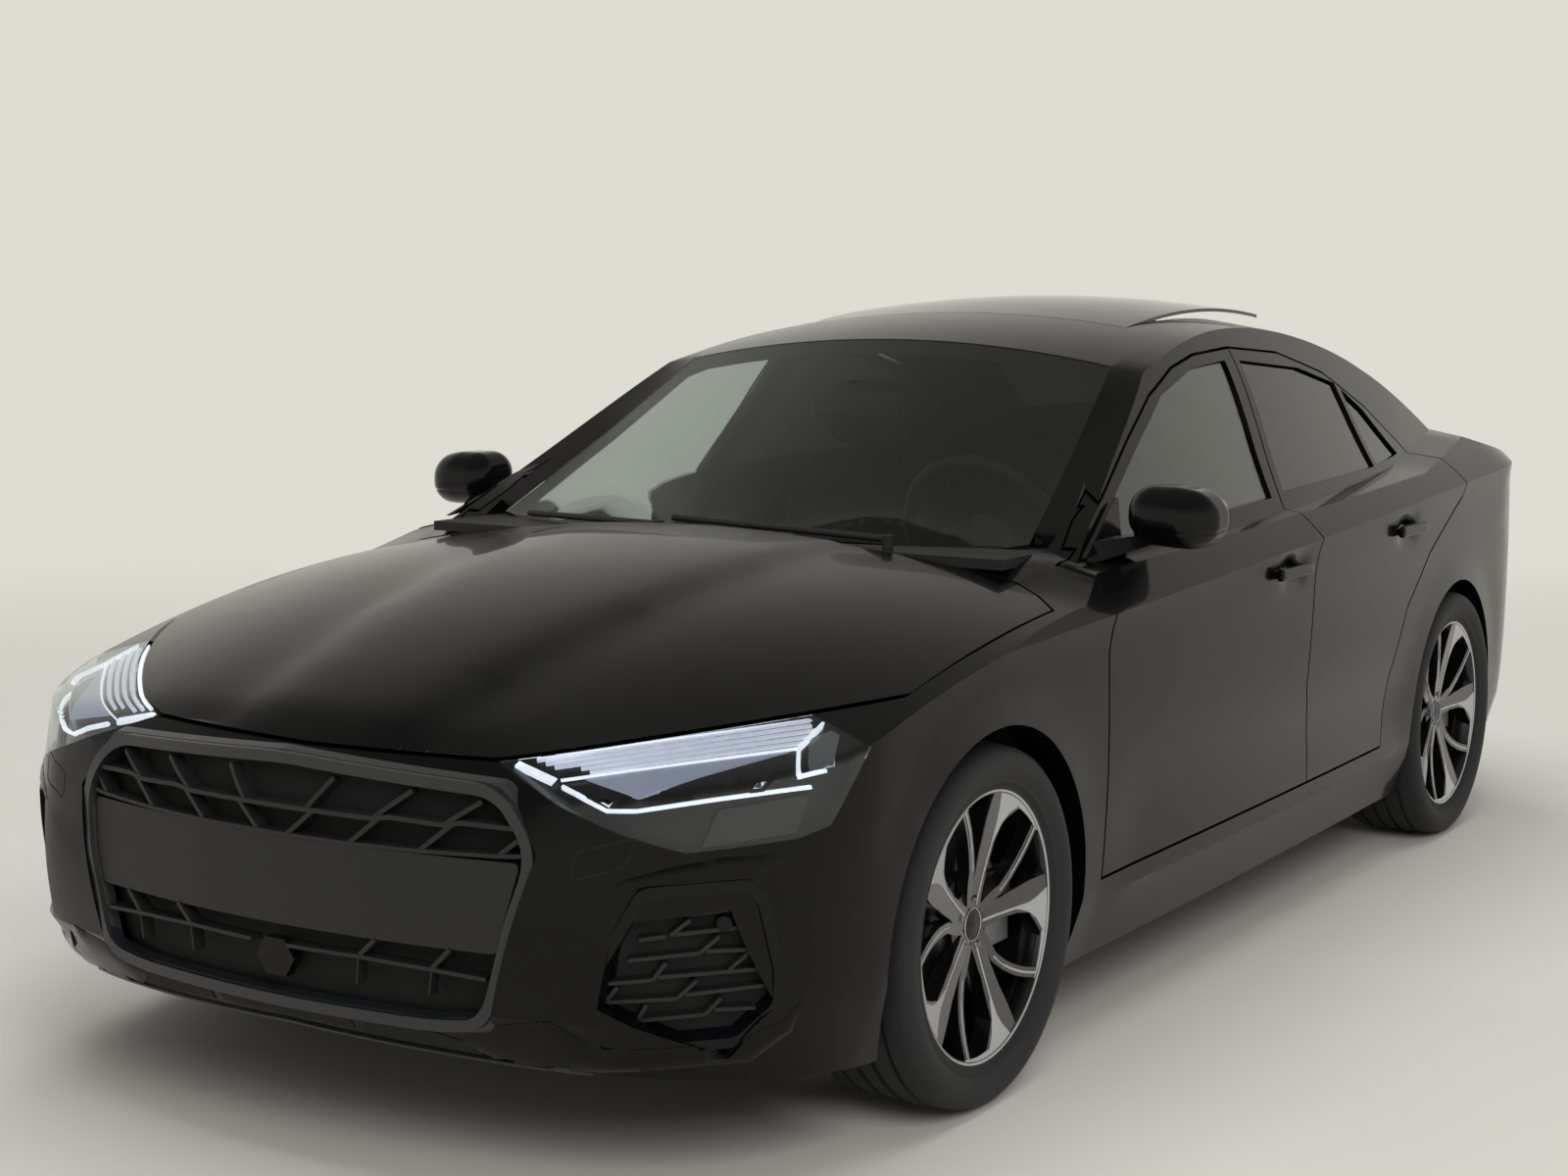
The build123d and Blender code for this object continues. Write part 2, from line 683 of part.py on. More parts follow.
def grille_lattice(depth_x):
    """Frame, middle band, bars and leaning ribs of the grille before they are cut to the nose."""
    whole = front_cut(GRILLE_FRONT, *depth_x)
    x0, x1 = depth_x
    bars = [box(x0, x1, -520, 520, z - h / 2, z + h / 2) for z, h in GRILLE_ROWS]
    bars.append(box(x0, x1, -520, 520, *GRILLE_BAND))
    middle_x = (x0 + x1) / 2
    for low_z, high_z in GRILLE_RIB_ROWS:
        for i in range(GRILLE_RIB_COUNT):
            y = (i - (GRILLE_RIB_COUNT - 1) / 2) * GRILLE_RIB_PITCH
            lean = GRILLE_RIB_LEAN * (1 if y < 0 else -1)
            rib = Rot(lean, 0, 0) * Box(x1 - x0, GRILLE_RIB_WIDTH, high_z - low_z + 18)
            bars.append(Pos(middle_x, y, (low_z + high_z) / 2) * rib)
    frame = whole - front_cut(GRILLE_FRONT, x0, x1, -GRILLE_FRAME)
    return (frame + bars) & whole


def intake_lattice(depth_x):
    """Frame and bars of the left side intake before they are cut to the nose."""
    x0, x1 = depth_x
    whole = front_cut(INTAKE_FRONT, x0, x1)
    frame = whole - front_cut(INTAKE_FRONT, x0, x1, -INTAKE_FRAME)
    half = INTAKE_BAR_HEIGHT / 2
    bars = [box(x0, x1, 560, 860, z - half, z + half) for z in INTAKE_BAR_Z]
    return (frame + bars) & whole


def grille_skin():
    """Skin that the grille is cut from: the nose's plan arc swept over its side profile."""
    front = [
        (-GRILLE_SETBACK - 18, 240),
        (-GRILLE_SETBACK - 4, 300),
        (-GRILLE_SETBACK, 450),
        (-GRILLE_SETBACK - 24, 610),
        (-GRILLE_SETBACK - 46, 670),
    ]
    back = [(x - GRILLE_DEPTH, z) for x, z in front[::-1]]
    points = [(NOSE_RADIUS + x, z) for x, z in front + back]
    plane = Plane((NOSE_X - NOSE_RADIUS, 0, 0), x_dir=(1, 0, 0), z_dir=(0, -1, 0))
    axis = Axis((NOSE_X - NOSE_RADIUS, 0, 0), (0, 0, 1))
    face = (plane * outline_face(points)).rotate(axis, -20)
    return revolve(face, axis, 40)


def front_layer(outer, inner_y, outer_y, low_z, high_z):
    """Skin of the nose within a window, as deep as the lattices."""
    block = outer & box(NOSE_X - 600, NOSE_X + 50, inner_y, outer_y, low_z, high_z)
    return block - Pos(-GRILLE_DEPTH, 0, 0) * block


def floor_pan(hollow):
    """Floor, tunnel, bulkheads, boot floor and chassis legs in one sheet."""
    w = CABIN_HALF_WIDTH
    front_x = FIREWALL_X + SHEET
    heel_back_x = HEEL_X - SHEET
    bulkhead_back_x = BULKHEAD_X - SHEET
    tunnel_half = TUNNEL_HALF_WIDTH + SHEET
    inner_leg, outer_leg = LEG_Y
    sheets = [
        box(heel_back_x, front_x, -w, w, FLOOR_Z, FLOOR_Z + FLOOR_PLATE),
        box(heel_back_x, front_x, -tunnel_half, tunnel_half, FLOOR_Z, TUNNEL_TOP_Z + SHEET),
        box(FIREWALL_X, front_x, -w, w, FLOOR_Z, SCUTTLE_Z - SCUTTLE_THICKNESS),
        box(heel_back_x, HEEL_X, -w, w, FLOOR_Z, SEAT_PAN_Z),
        box(bulkhead_back_x, HEEL_X, -w, w, SEAT_PAN_Z - SHEET, SEAT_PAN_Z),
        box(bulkhead_back_x, BULKHEAD_X, -w, w, SEAT_PAN_Z - SHEET, BELT_Z),
        box(TAIL_X + 60, BULKHEAD_X, -w, w, BOOT_FLOOR_Z - SHEET, BOOT_FLOOR_Z),
        box(*CRASH_BEAM_X, -outer_leg - 60, outer_leg + 60, *LEG_Z),
        box(FIREWALL_X, CRASH_BEAM_X[1], inner_leg, outer_leg, *LEG_Z),
        box(FIREWALL_X, CRASH_BEAM_X[1], -outer_leg, -inner_leg, *LEG_Z),
        box(*REAR_LEG_X, *REAR_LEG_Y, REAR_LEG_Z, BOOT_FLOOR_Z - 5),
        box(*REAR_LEG_X, -REAR_LEG_Y[1], -REAR_LEG_Y[0], REAR_LEG_Z, BOOT_FLOOR_Z - 5),
    ]
    tunnel = box(HEEL_X - 2 * SHEET, front_x + 1, -TUNNEL_HALF_WIDTH, TUNNEL_HALF_WIDTH, 150, TUNNEL_TOP_Z)
    return biggest(((Part() + sheets) - tunnel) & hollow)


def arch_liners():
    """Four liners, the front ones with the boss that the strut turns in."""
    boss = rod(steer_point(STRUT_TOP_Z + RUNNING_GAP), steer_point(STRUT_TOP_Z + 40), 32)
    left = [
        biggest(liner(FRONT_AXLE_X, FRONT_LINER_Y) + boss),
        biggest(liner(REAR_AXLE_X, REAR_LINER_Y)),
    ]
    return Compound(children=left + [biggest(other_side(piece)) for piece in left])


def tyre(x, y):
    """Solid tyre ring between the rim's lips."""
    w = TYRE_WIDTH / 2
    bead = BEAD_SPAN / 2
    shoulder = TYRE_SHOULDER
    bulge_radius = RIM_LIP_RADIUS + 30
    profile = [
        (-bead, BEAD_RADIUS),
        (-bead, RIM_LIP_RADIUS),
        (-w, bulge_radius),
        (-w + 4, TYRE_RADIUS - shoulder),
        (-w + shoulder, TYRE_RADIUS - 4),
        (-w / 2, TYRE_RADIUS),
        (w / 2, TYRE_RADIUS),
        (w - shoulder, TYRE_RADIUS - 4),
        (w - 4, TYRE_RADIUS - shoulder),
        (w, bulge_radius),
        (bead, RIM_LIP_RADIUS),
        (bead, BEAD_RADIUS),
    ]
    ring = revolve(make_face(Polyline(*profile, close=True)), Axis.X)
    return Pos(x, y, WHEEL_Z) * Rot(0, 0, 90) * ring


def axle_disc(radius, start, end):
    """Cylinder on the wheel's own axis between two offsets."""
    return Pos((start + end) / 2, 0, 0) * Rot(0, 90, 0) * Cylinder(radius, end - start)


def wheel(x, y):
    """Left wheel: rim, five spokes, hub, brake disc and stub axle."""
    bead = BEAD_SPAN / 2
    lip = bead + RIM_LIP_WIDTH
    inner = BEAD_RADIUS - RIM_WALL
    barrel = [
        (-lip, inner),
        (-lip, RIM_LIP_RADIUS),
        (-bead, RIM_LIP_RADIUS),
        (-bead, BEAD_RADIUS),
        (bead, BEAD_RADIUS),
        (bead, RIM_LIP_RADIUS),
        (lip, RIM_LIP_RADIUS),
        (lip, inner),
    ]
    rim = revolve(make_face(Polyline(*barrel, close=True)), Axis.X)
    hub_face = HUB_OFFSET + HUB_THICKNESS
    root, tip = SPOKE_ROOT_WIDTH / 2, SPOKE_TIP_WIDTH / 2
    blade = [(-root, 20), (root, 20), (tip, inner + 2), (-tip, inner + 2)]
    plane = Plane((hub_face - SPOKE_DEPTH + 4, 0, 0), x_dir=(0, 1, 0), z_dir=(1, 0, 0))
    arm = extrude(plane * outline_face(blade), amount=SPOKE_DEPTH)
    spokes = [Rot(i * 360 / SPOKE_COUNT, 0, 0) * arm for i in range(SPOKE_COUNT)]
    disc_start = HUB_OFFSET - DISC_INSET
    centre = [
        axle_disc(HUB_RADIUS, HUB_OFFSET, hub_face),
        axle_disc(DISC_RADIUS, disc_start, disc_start + DISC_THICKNESS),
        axle_disc(DISC_HAT_RADIUS, disc_start, HUB_OFFSET),
        axle_disc(STUB_RADIUS, disc_start - STUB_LENGTH, disc_start),
    ]
    drill = Pos(0, BOLT_CIRCLE / 2, 0) * axle_disc(BOLT_HOLE_RADIUS, HUB_OFFSET + 8, hub_face + 20)
    holes = [Rot((i + 0.5) * 360 / BOLT_COUNT, 0, 0) * drill for i in range(BOLT_COUNT)]
    whole = rim + spokes + centre - holes
    return Pos(x, y, WHEEL_Z) * Rot(0, 0, 90) * whole


def calliper(x, disc_y):
    """Brake calliper over the rear of one left disc, with its bracket."""
    block = box(x - 182, x - 84, disc_y - 32, disc_y + DISC_THICKNESS + 12, WHEEL_Z - 68, WHEEL_Z + 68)
    slot_low, slot_high = disc_y - MOVING_GAP, disc_y + DISC_THICKNESS + MOVING_GAP
    slot = across(DISC_RADIUS + MOVING_GAP, x, WHEEL_Z, slot_low, slot_high)
    bracket = box(x - 150, x - 20, disc_y - 44, disc_y - 22, WHEEL_Z - 40, WHEEL_Z + 40)
    return block - slot + bracket


def front_knuckle():
    """Left upright: hub carrier, strut, steering arm, calliper and lower pin."""
    x, y = FRONT_AXLE_X, FRONT_WHEEL_Y
    disc_y = y + HUB_OFFSET - DISC_INSET
    face_y = disc_y - MOVING_GAP
    strut_low = (x, y - 143, 420)
    strut_high = (x, steer_point(STRUT_TOP_Z - 15)[1] - 20, STRUT_TOP_Z - 15)
    parts = [
        across(46, x, WHEEL_Z, face_y - 56, face_y),
        box(x - 22, x + 22, face_y - 56, face_y - 14, STEER_FOOT_Z + 24, WHEEL_Z + 110),
        box(x - 24, x + 24, y - 160, face_y - 30, 395, WHEEL_Z + 108),
        rod(strut_low, strut_high, 24),
        rod(steer_point(STRUT_TOP_Z - 32), steer_point(STRUT_TOP_Z), 28),
        rod(steer_point(STEER_FOOT_Z - 22), steer_point(STEER_FOOT_Z + 60), KINGPIN_RADIUS),
        box(x - 140, x, face_y - 46, face_y - 22, 258, 282),
        calliper(x, disc_y),
    ]
    bore = across(STUB_RADIUS + STUB_GAP, x, WHEEL_Z, disc_y - STUB_LENGTH - MOVING_GAP, disc_y + 20)
    return biggest(Part() + parts - bore)


def rear_knuckle():
    """Left rear upright with its calliper."""
    x = REAR_AXLE_X
    disc_y = REAR_WHEEL_Y + HUB_OFFSET - DISC_INSET
    face_y = disc_y - MOVING_GAP
    parts = [
        across(46, x, WHEEL_Z, face_y - REAR_KNUCKLE_DEPTH, face_y),
        box(x - 60, x + 40, face_y - REAR_KNUCKLE_DEPTH, face_y - 30, 215, WHEEL_Z + 60),
        calliper(x, disc_y),
    ]
    bore = across(STUB_RADIUS + STUB_GAP, x, WHEEL_Z, disc_y - STUB_LENGTH - MOVING_GAP, disc_y + 20)
    return biggest(Part() + parts - bore)


def front_subframe():
    """Cross-member, steering rack and lower arms."""
    x = FRONT_AXLE_X
    low_z, high_z = SUBFRAME_Z
    inner_leg, outer_leg = LEG_Y
    foot_y = STEER_FOOT_Y
    arm_plan = [
        (x + 20, foot_y + 12),
        (x - 20, foot_y + 12),
        (x - 26, foot_y),
        (x - 60, foot_y - 200),
        (x - 200, foot_y - 365),
        (x - 200, 300),
        (x + 60, 300),
        (x + 60, foot_y - 365),
        (x + 26, foot_y),
    ]
    arm = top_cut(arm_plan, 176, 194) + rod(steer_point(174), steer_point(204), 22)
    arm = arm - rod(steer_point(150), steer_point(240), KINGPIN_RADIUS + RUNNING_GAP)
    tower = box(x - 60, x + 10, inner_leg, outer_leg - 6, high_z - 10, LEG_Z[0])
    mount = box(x - 40, x + 30, 240, 320, high_z - 5, ENGINE_Z[0])
    parts = [
        box(x - 240, x + 70, -outer_leg + 20, outer_leg - 20, low_z, high_z),
        arm,
        other_side(arm),
        tower,
        other_side(tower),
        mount,
        other_side(mount),
        across(30, x - 130, 262, -430, 430),
    ]
    return biggest(Part() + parts)


def rear_axle():
    """Rear cross-member with its arms and the mountings under the legs."""
    x = REAR_AXLE_X
    inner_face = REAR_WHEEL_Y + HUB_OFFSET - DISC_INSET - MOVING_GAP - REAR_KNUCKLE_DEPTH
    mount = box(x - 60, x + 40, *REAR_LEG_Y, 280, REAR_LEG_Z)
    parts = [
        box(x - 80, x + 60, -REAR_LEG_Y[1], REAR_LEG_Y[1], 285, 306),
        box(x - 45, x + 25, -inner_face, inner_face, 250, 290),
        mount,
        other_side(mount),
    ]
    return biggest(Part() + parts)


def exhaust():
    """Pipe from the engine through the tunnel and under the rear axle to the silencer."""
    r = PIPE_RADIUS
    under_axle_z = 215
    path = [
        (ENGINE_X[0], 0, 420),
        (FRONT_AXLE_X - 220, 0, 420),
        (FRONT_AXLE_X - 310, 0, PIPE_Z),
        (REAR_AXLE_X + 320, 0, PIPE_Z),
        (REAR_AXLE_X + 200, 0, under_axle_z),
        (REAR_AXLE_X - 200, 0, under_axle_z),
        (REAR_AXLE_X - 430, 0, SILENCER_Z),
    ]
    parts = [rod(a, b, r) for a, b in zip(path, path[1:])]
    parts += [Pos(*point) * Sphere(r) for point in path[1:-1]]
    silencer = Pos(SILENCER_X, 0, SILENCER_Z) * Box(290, 760, 120)
    parts.append(fillet(silencer.edges(), 30))
    parts.append(box(SILENCER_X - 40, SILENCER_X + 40, -20, 20, SILENCER_Z + 50, BOOT_FLOOR_Z - SHEET))
    parts.append(rod((FIREWALL_X - 300, 0, PIPE_Z), (FIREWALL_X - 300, 0, TUNNEL_TOP_Z), 10))
    for y in (-330, -250):
        parts.append(rod((SILENCER_X - 100, y, SILENCER_Z), (SILENCER_X - 170, y, SILENCER_Z - 20), r))
    return biggest(Part() + parts)


def fuel_tank():
    """Tank ahead of the rear axle with a channel for the pipe."""
    tank = box(REAR_AXLE_X + 200, HEEL_X - SHEET, -540, 540, 190, SEAT_PAN_Z - SHEET)
    tank = tank - box(REAR_AXLE_X + 150, HEEL_X, -75, 75, 100, 300)
    return biggest(tank)


def seat(x, y, half_width, cushion_z, back_height):
    """Front seat: cushion, leaning back, headrest and the plinth on the floor."""
    back_z = cushion_z + back_height
    side = [
        (x + 300, cushion_z - 120),
        (x + 310, cushion_z + 5),
        (x + 250, cushion_z + 15),
        (x - 160, cushion_z - 25),
        (x - 330, back_z),
        (x - 420, back_z),
        (x - 330, cushion_z - 120),
    ]
    body = side_cut(side, y - half_width, y + half_width)
    body = fillet(body.edges().filter_by(Axis.Y), 28)
    head = Pos(x - 395, y, back_z + 105) * Rot(0, 12, 0) * Box(95, 250, 170)
    parts = [fillet(head.edges(), 30)]
    for post_y in (y - 60, y + 60):
        parts.append(box(x - 400, x - 384, post_y - 8, post_y + 8, back_z - 60, back_z + 60))
    parts.append(box(x - 260, x + 220, y - half_width + 50, y + half_width - 50,
                     FLOOR_Z + FLOOR_PLATE, cushion_z - 100))
    return biggest(body + parts)


def rear_bench():
    """Rear seat with three headrests."""
    x = BULKHEAD_X
    z = SEAT_PAN_Z
    side = [
        (HEEL_X + 90, z),
        (HEEL_X + 100, z + 120),
        (HEEL_X + 60, z + 135),
        (x + 190, z + 100),
        (x + 70, z + 570),
        (x + 8, z + 560),
        (x, z),
    ]
    bench = side_cut(side, -BENCH_HALF_WIDTH, BENCH_HALF_WIDTH)
    parts = []
    for y in (-330, 0, 330):
        head = Pos(x + 50, y, z + 620) * Box(75, 230, 120)
        parts.append(fillet(head.edges(), 24))
    return biggest(fillet(bench.edges().filter_by(Axis.Y), 20) + parts)


def column_point(distance):
    """Point on the steering column's axis, ahead of the steering wheel's centre."""
    return tuple(Vector(*WHEEL_CENTRE) + Vector(1, 0, 0).rotate(Axis.Y, COLUMN_TILT) * distance)


def dashboard():
    """Dashboard with the steering column."""
    side = [
        (FIREWALL_X, DASH_BOTTOM_Z),
        (FIREWALL_X, 856),
        (FIREWALL_X - 150, 888),
        (FIREWALL_X - 330, 902),
        (FIREWALL_X - 420, 880),
        (FIREWALL_X - 430, 780),
        (FIREWALL_X - 330, DASH_BOTTOM_Z),
    ]
    board = side_cut(side, -DASH_HALF_WIDTH, DASH_HALF_WIDTH)
    column = rod(column_point(STEERING_BOSS / 2 + RUNNING_GAP), column_point(260), 32)
    return biggest(board + column)


def steering_wheel():
    """Steering wheel: rim, boss and three spokes."""
    parts = [
        Cylinder(62, STEERING_BOSS),
        Pos(0, STEERING_RADIUS / 2, 0) * Box(34, STEERING_RADIUS, 14),
        Pos(0, -STEERING_RADIUS / 2, 0) * Box(34, STEERING_RADIUS, 14),
        Pos(STEERING_RADIUS / 2, 0, 0) * Box(STEERING_RADIUS, 44, 14),
    ]
    whole = Torus(STEERING_RADIUS, STEERING_RIM) + parts
    return Pos(*WHEEL_CENTRE) * Rot(0, 90 + COLUMN_TILT, 0) * whole


def centre_console():
    """Console over the tunnel, up to the dashboard."""
    low_z = TUNNEL_TOP_Z + SHEET
    side = [
        (FIREWALL_X - 200, low_z),
        (FIREWALL_X - 200, DASH_BOTTOM_Z),
        (FIREWALL_X - 330, DASH_BOTTOM_Z),
        (FIREWALL_X - 440, 560),
        (FIREWALL_X - 620, 500),
        (FIREWALL_X - 1080, 560),
        (FIREWALL_X - 1100, low_z),
    ]
    return side_cut(side, -TUNNEL_HALF_WIDTH + 5, TUNNEL_HALF_WIDTH - 5)


def door_mirror(leaf):
    """Left door mirror: shell and the foot on the door."""
    shell = fillet((Pos(*MIRROR_CENTRE) * Box(*MIRROR_SIZE)).edges(), 38)
    foot = rod(MIRROR_FOOT, MIRROR_CENTRE, 19)
    return biggest(shell + foot - leaf)


def door_handle(place):
    """Left door handle: a bar on two posts that reach into the door."""
    x, skin_y, z = place
    length, thickness, height = HANDLE_SIZE
    bar_y = skin_y + HANDLE_GAP + thickness / 2
    bar = fillet((Pos(x, bar_y, z) * Box(length, thickness, height)).edges(), 5)
    reach = length / 2 - 14
    posts = [box(x + s - 9, x + s + 9, skin_y - 20, bar_y, z - 8, z + 8) for s in (-reach, reach)]
    return bar + posts


def wipers():
    """Two parked wipers on their spindles."""
    radius = 7.0
    pivot_x = BONNET_REAR_X - 38
    head_z = SCUTTLE_Z + 30
    both = []
    for pivot_y, tip_x, tip_y in ((430, FRONT_AXLE_X - 480, -130), (-120, FRONT_AXLE_X - 540, -560)):
        glass_z = SCREEN_TOP[1] - SCREEN_SLOPE * (tip_x - SCREEN_TOP[0]) - tip_y**2 / (2 * ROOF_CROWN_RADIUS)
        tip = (tip_x + 0.5 * radius, tip_y, glass_z + radius)
        spindle = rod((pivot_x, pivot_y, SCUTTLE_Z), (pivot_x, pivot_y, head_z), 11)
        both.append(biggest(spindle + rod((pivot_x, pivot_y, head_z - 8), tip, radius)))
    return Compound(children=both)


def interior_mirror():
    """Rear-view mirror hung from the windscreen."""
    x, z = SCREEN_TOP[0] + 150, SCREEN_TOP[1] - 150
    body = Pos(x, 0, z) * fillet(Box(36, 230, 62).edges(), 14)
    return biggest((body + rod((x, 0, z), (x + 30, 0, z + 100), 9)) & roofline(SCREEN_DROP))


def polar(centre, radius, angle):
    """Point at a distance and an angle from a centre."""
    return (centre[0] + radius * cos(radians(angle)), centre[1] + radius * sin(radians(angle)))


def arc_band(centre, inner, outer, start, end):
    """Flat face between two arcs round a centre."""
    middle = (start + end) / 2
    edges = [
        ThreePointArc(polar(centre, outer, start), polar(centre, outer, middle), polar(centre, outer, end)),
        Line(polar(centre, outer, end), polar(centre, inner, end)),
        ThreePointArc(polar(centre, inner, end), polar(centre, inner, middle), polar(centre, inner, start)),
        Line(polar(centre, inner, start), polar(centre, outer, start)),
    ]
    return make_face(edges)


def door_strap(pivot, strap, gap=0.0, more=0.0):
    """Curved strap of a left door, or the channel it slides in when given a gap."""
    radius, start, end = strap
    half = STRAP_THICKNESS / 2 + gap
    low_z, high_z = STRAP_Z
    band = arc_band(pivot, radius - half, radius + half, start - more, end + more)
    return extrude(Pos(0, 0, low_z - gap) * band, amount=high_z - low_z + 2 * gap)


def hinge_pin(hinge, y):
    """Pin across a hinge arm, with the cheeks that hold it."""
    half = HINGE_ARM_WIDTH / 2 + HINGE_SIDE_GAP + HINGE_CHEEK
    x, z = hinge
    pin = across(HINGE_PIN_RADIUS, x, z, y - half, y + half)
    cheek_boss = across(HINGE_BOSS_RADIUS, x, z, y - half, y - half + HINGE_CHEEK)
    return pin + cheek_boss + Pos(0, 2 * half - HINGE_CHEEK, 0) * cheek_boss


def arm_slice(points, y):
    """Hinge arm cut from plate."""
    return side_cut(points, y - HINGE_ARM_WIDTH / 2, y + HINGE_ARM_WIDTH / 2)


def arm_boss(arm, hinge, y):
    """Hinge arm with its boss and bore."""
    half = HINGE_ARM_WIDTH / 2
    boss = across(HINGE_BOSS_RADIUS, *hinge, y - half, y + half)
    return arm + boss - across(HINGE_PIN_RADIUS + PIN_GAP, *hinge, y - half - 1, y + half + 1)


def bonnet_arm():
    """Left hinge arm under the bonnet's rear edge."""
    x, z = BONNET_HINGE
    rear_x = BONNET_REAR_X
    points = [
        (x, z - 7),
        (x + 17, z - 7),
        (rear_x, z - 19),
        (rear_x + 95, z - 30),
        (rear_x + 95, z + 45),
        (rear_x + 4, z + 45),
        (rear_x, z - 8),
        (x, z + 7),
    ]
    arm = arm_slice(points, BONNET_HINGE_Y) & deck(LID_THICKNESS)
    return arm_boss(arm, BONNET_HINGE, BONNET_HINGE_Y)


def bonnet_bracket():
    """Left bracket on the firewall with the bonnet's pin."""
    x, z = BONNET_HINGE
    pin = hinge_pin(BONNET_HINGE, BONNET_HINGE_Y)
    half = HINGE_ARM_WIDTH / 2 + HINGE_SIDE_GAP
    foot = box(FIREWALL_X, FIREWALL_X + 18, BONNET_HINGE_Y - half - HINGE_CHEEK, BONNET_HINGE_Y - half,
               SCUTTLE_Z - SCUTTLE_THICKNESS - 10, z)
    return pin + foot + Pos(0, 2 * half + HINGE_CHEEK, 0) * foot


def boot_arm():
    """Left hinge arm of the boot lid, curved round the edge below the rear window."""
    band = arc_band(BOOT_HINGE, 43, 54, 212, 341)
    spoke = [polar(BOOT_HINGE, 48, 329), polar(BOOT_HINGE, 48, 341), polar(BOOT_HINGE, 6, 41),
             polar(BOOT_HINGE, 6, 269)]
    y = BOOT_HINGE_Y
    plane = Plane((0, y - HINGE_ARM_WIDTH / 2, 0), x_dir=(1, 0, 0), z_dir=(0, -1, 0))
    curve = extrude(plane * band, amount=-HINGE_ARM_WIDTH)
    return arm_boss(curve + arm_slice(spoke, y), BOOT_HINGE, y)


def boot_bracket():
    """Left bracket below the rear window with the boot lid's pin."""
    x, z = BOOT_HINGE
    half = HINGE_ARM_WIDTH / 2 + HINGE_SIDE_GAP
    foot = box(x - 16, x, BOOT_HINGE_Y - half - HINGE_CHEEK, BOOT_HINGE_Y - half, z - 7, z + 4)
    return hinge_pin(BOOT_HINGE, BOOT_HINGE_Y) + foot + Pos(0, 2 * half + HINGE_CHEEK, 0) * foot


def both_sides(name, shape):
    """A left piece and its mirror image as two nodes."""
    return {name + "_left": shape, name + "_right": other_side(shape)}


# Outer form, the hollow inside it, and the hollows that the doors back onto
scuttle_room = box(SCUTTLE_BACK_X, BONNET_REAR_X, -SCUTTLE_HALF_WIDTH, SCUTTLE_HALF_WIDTH, SCUTTLE_Z, 1200)
end_cuts = side_cut(APPROACH_CUT, -1000, 1000) + side_cut(DEPARTURE_CUT, -1000, 1000)
cabin_top = glasshouse_form(0, 0)
outer = (lower_form(0, 0, 0) - scuttle_room) + cabin_top - end_cuts
hollow_lower = lower_form(DOOR_THICKNESS, BUMPER_DEPTH, LID_THICKNESS)
hollow = hollow_lower + glasshouse_form(FRAME_THICKNESS, FRAME_THICKNESS)
door_back = hollow_lower + glasshouse_form(FRAME_THICKNESS, 0)
door_back_free = lower_form(DOOR_THICKNESS + MOVING_GAP, BUMPER_DEPTH, LID_THICKNESS + MOVING_GAP)
door_back_free = door_back_free + glasshouse_form(FRAME_THICKNESS + MOVING_GAP, 0)
post_depth = DOOR_THICKNESS + PILLAR_DEPTH
post_back = lower_form(post_depth, BUMPER_DEPTH, LID_THICKNESS + PILLAR_DEPTH)
post_back = post_back + glasshouse_form(FRAME_THICKNESS + PILLAR_DEPTH, FRAME_THICKNESS + PILLAR_DEPTH)
shell = outer - hollow

# Spaces that pieces take out of the shell
arches = arch(FRONT_AXLE_X, FRONT_ARCH_RADIUS, FRONT_LINER_Y) + arch(REAR_AXLE_X, REAR_ARCH_RADIUS, REAR_LINER_Y)
all_arches = arches + other_side(arches)
inboard = box(TAIL_X, NOSE_X, 0, SCUTTLE_HALF_WIDTH + MOVING_GAP, 0, DOOR_INNER_Z)
inboard = inboard + box(PILLAR_FOOT_X, NOSE_X, 0, PILLAR_FOOT_Y, 0, PILLAR_FOOT_Z)
leaf_inboard = box(TAIL_X, NOSE_X, 0, SCUTTLE_HALF_WIDTH + 2 * MOVING_GAP, 0, DOOR_INNER_Z + MOVING_GAP)
foot_y, foot_z = PILLAR_FOOT_Y + MOVING_GAP, PILLAR_FOOT_Z + MOVING_GAP
leaf_inboard = leaf_inboard + box(PILLAR_FOOT_X - MOVING_GAP, NOSE_X, 0, foot_y, 0, foot_z)
front_door_space = shut_cut(FRONT_DOOR_SIDE, MOVING_GAP / 2) - door_back_free - inboard
rear_door_space = shut_cut(REAR_DOOR_SIDE, MOVING_GAP / 2) - door_back_free - inboard
bonnet_space = bonnet_room(MOVING_GAP) - deck(LID_THICKNESS + MOVING_GAP)
scuttle_zone = box(SCUTTLE_BACK_X, BONNET_REAR_X, -SCUTTLE_HALF_WIDTH, SCUTTLE_HALF_WIDTH,
                   SCUTTLE_Z - SCUTTLE_THICKNESS, 1200)
screen_room = top_cut(SCREEN_PLAN, SCUTTLE_Z, 1500)
roof_room = top_cut(ROOF_PLAN, 1150, 1500)
back_window_room = top_cut(BACK_WINDOW_PLAN, 1040, 1500)
lamp_room = front_cut(LAMP_FRONT, FRONT_AXLE_X + 300, NOSE_X + 50) & side_cut(LAMP_SIDE, 0, 1000)
tail_lamp_room = front_cut(TAIL_LAMP_FRONT, TAIL_X - 50, TAIL_LAMP_X)
lattice_x = (NOSE_X - 450, NOSE_X + 50)

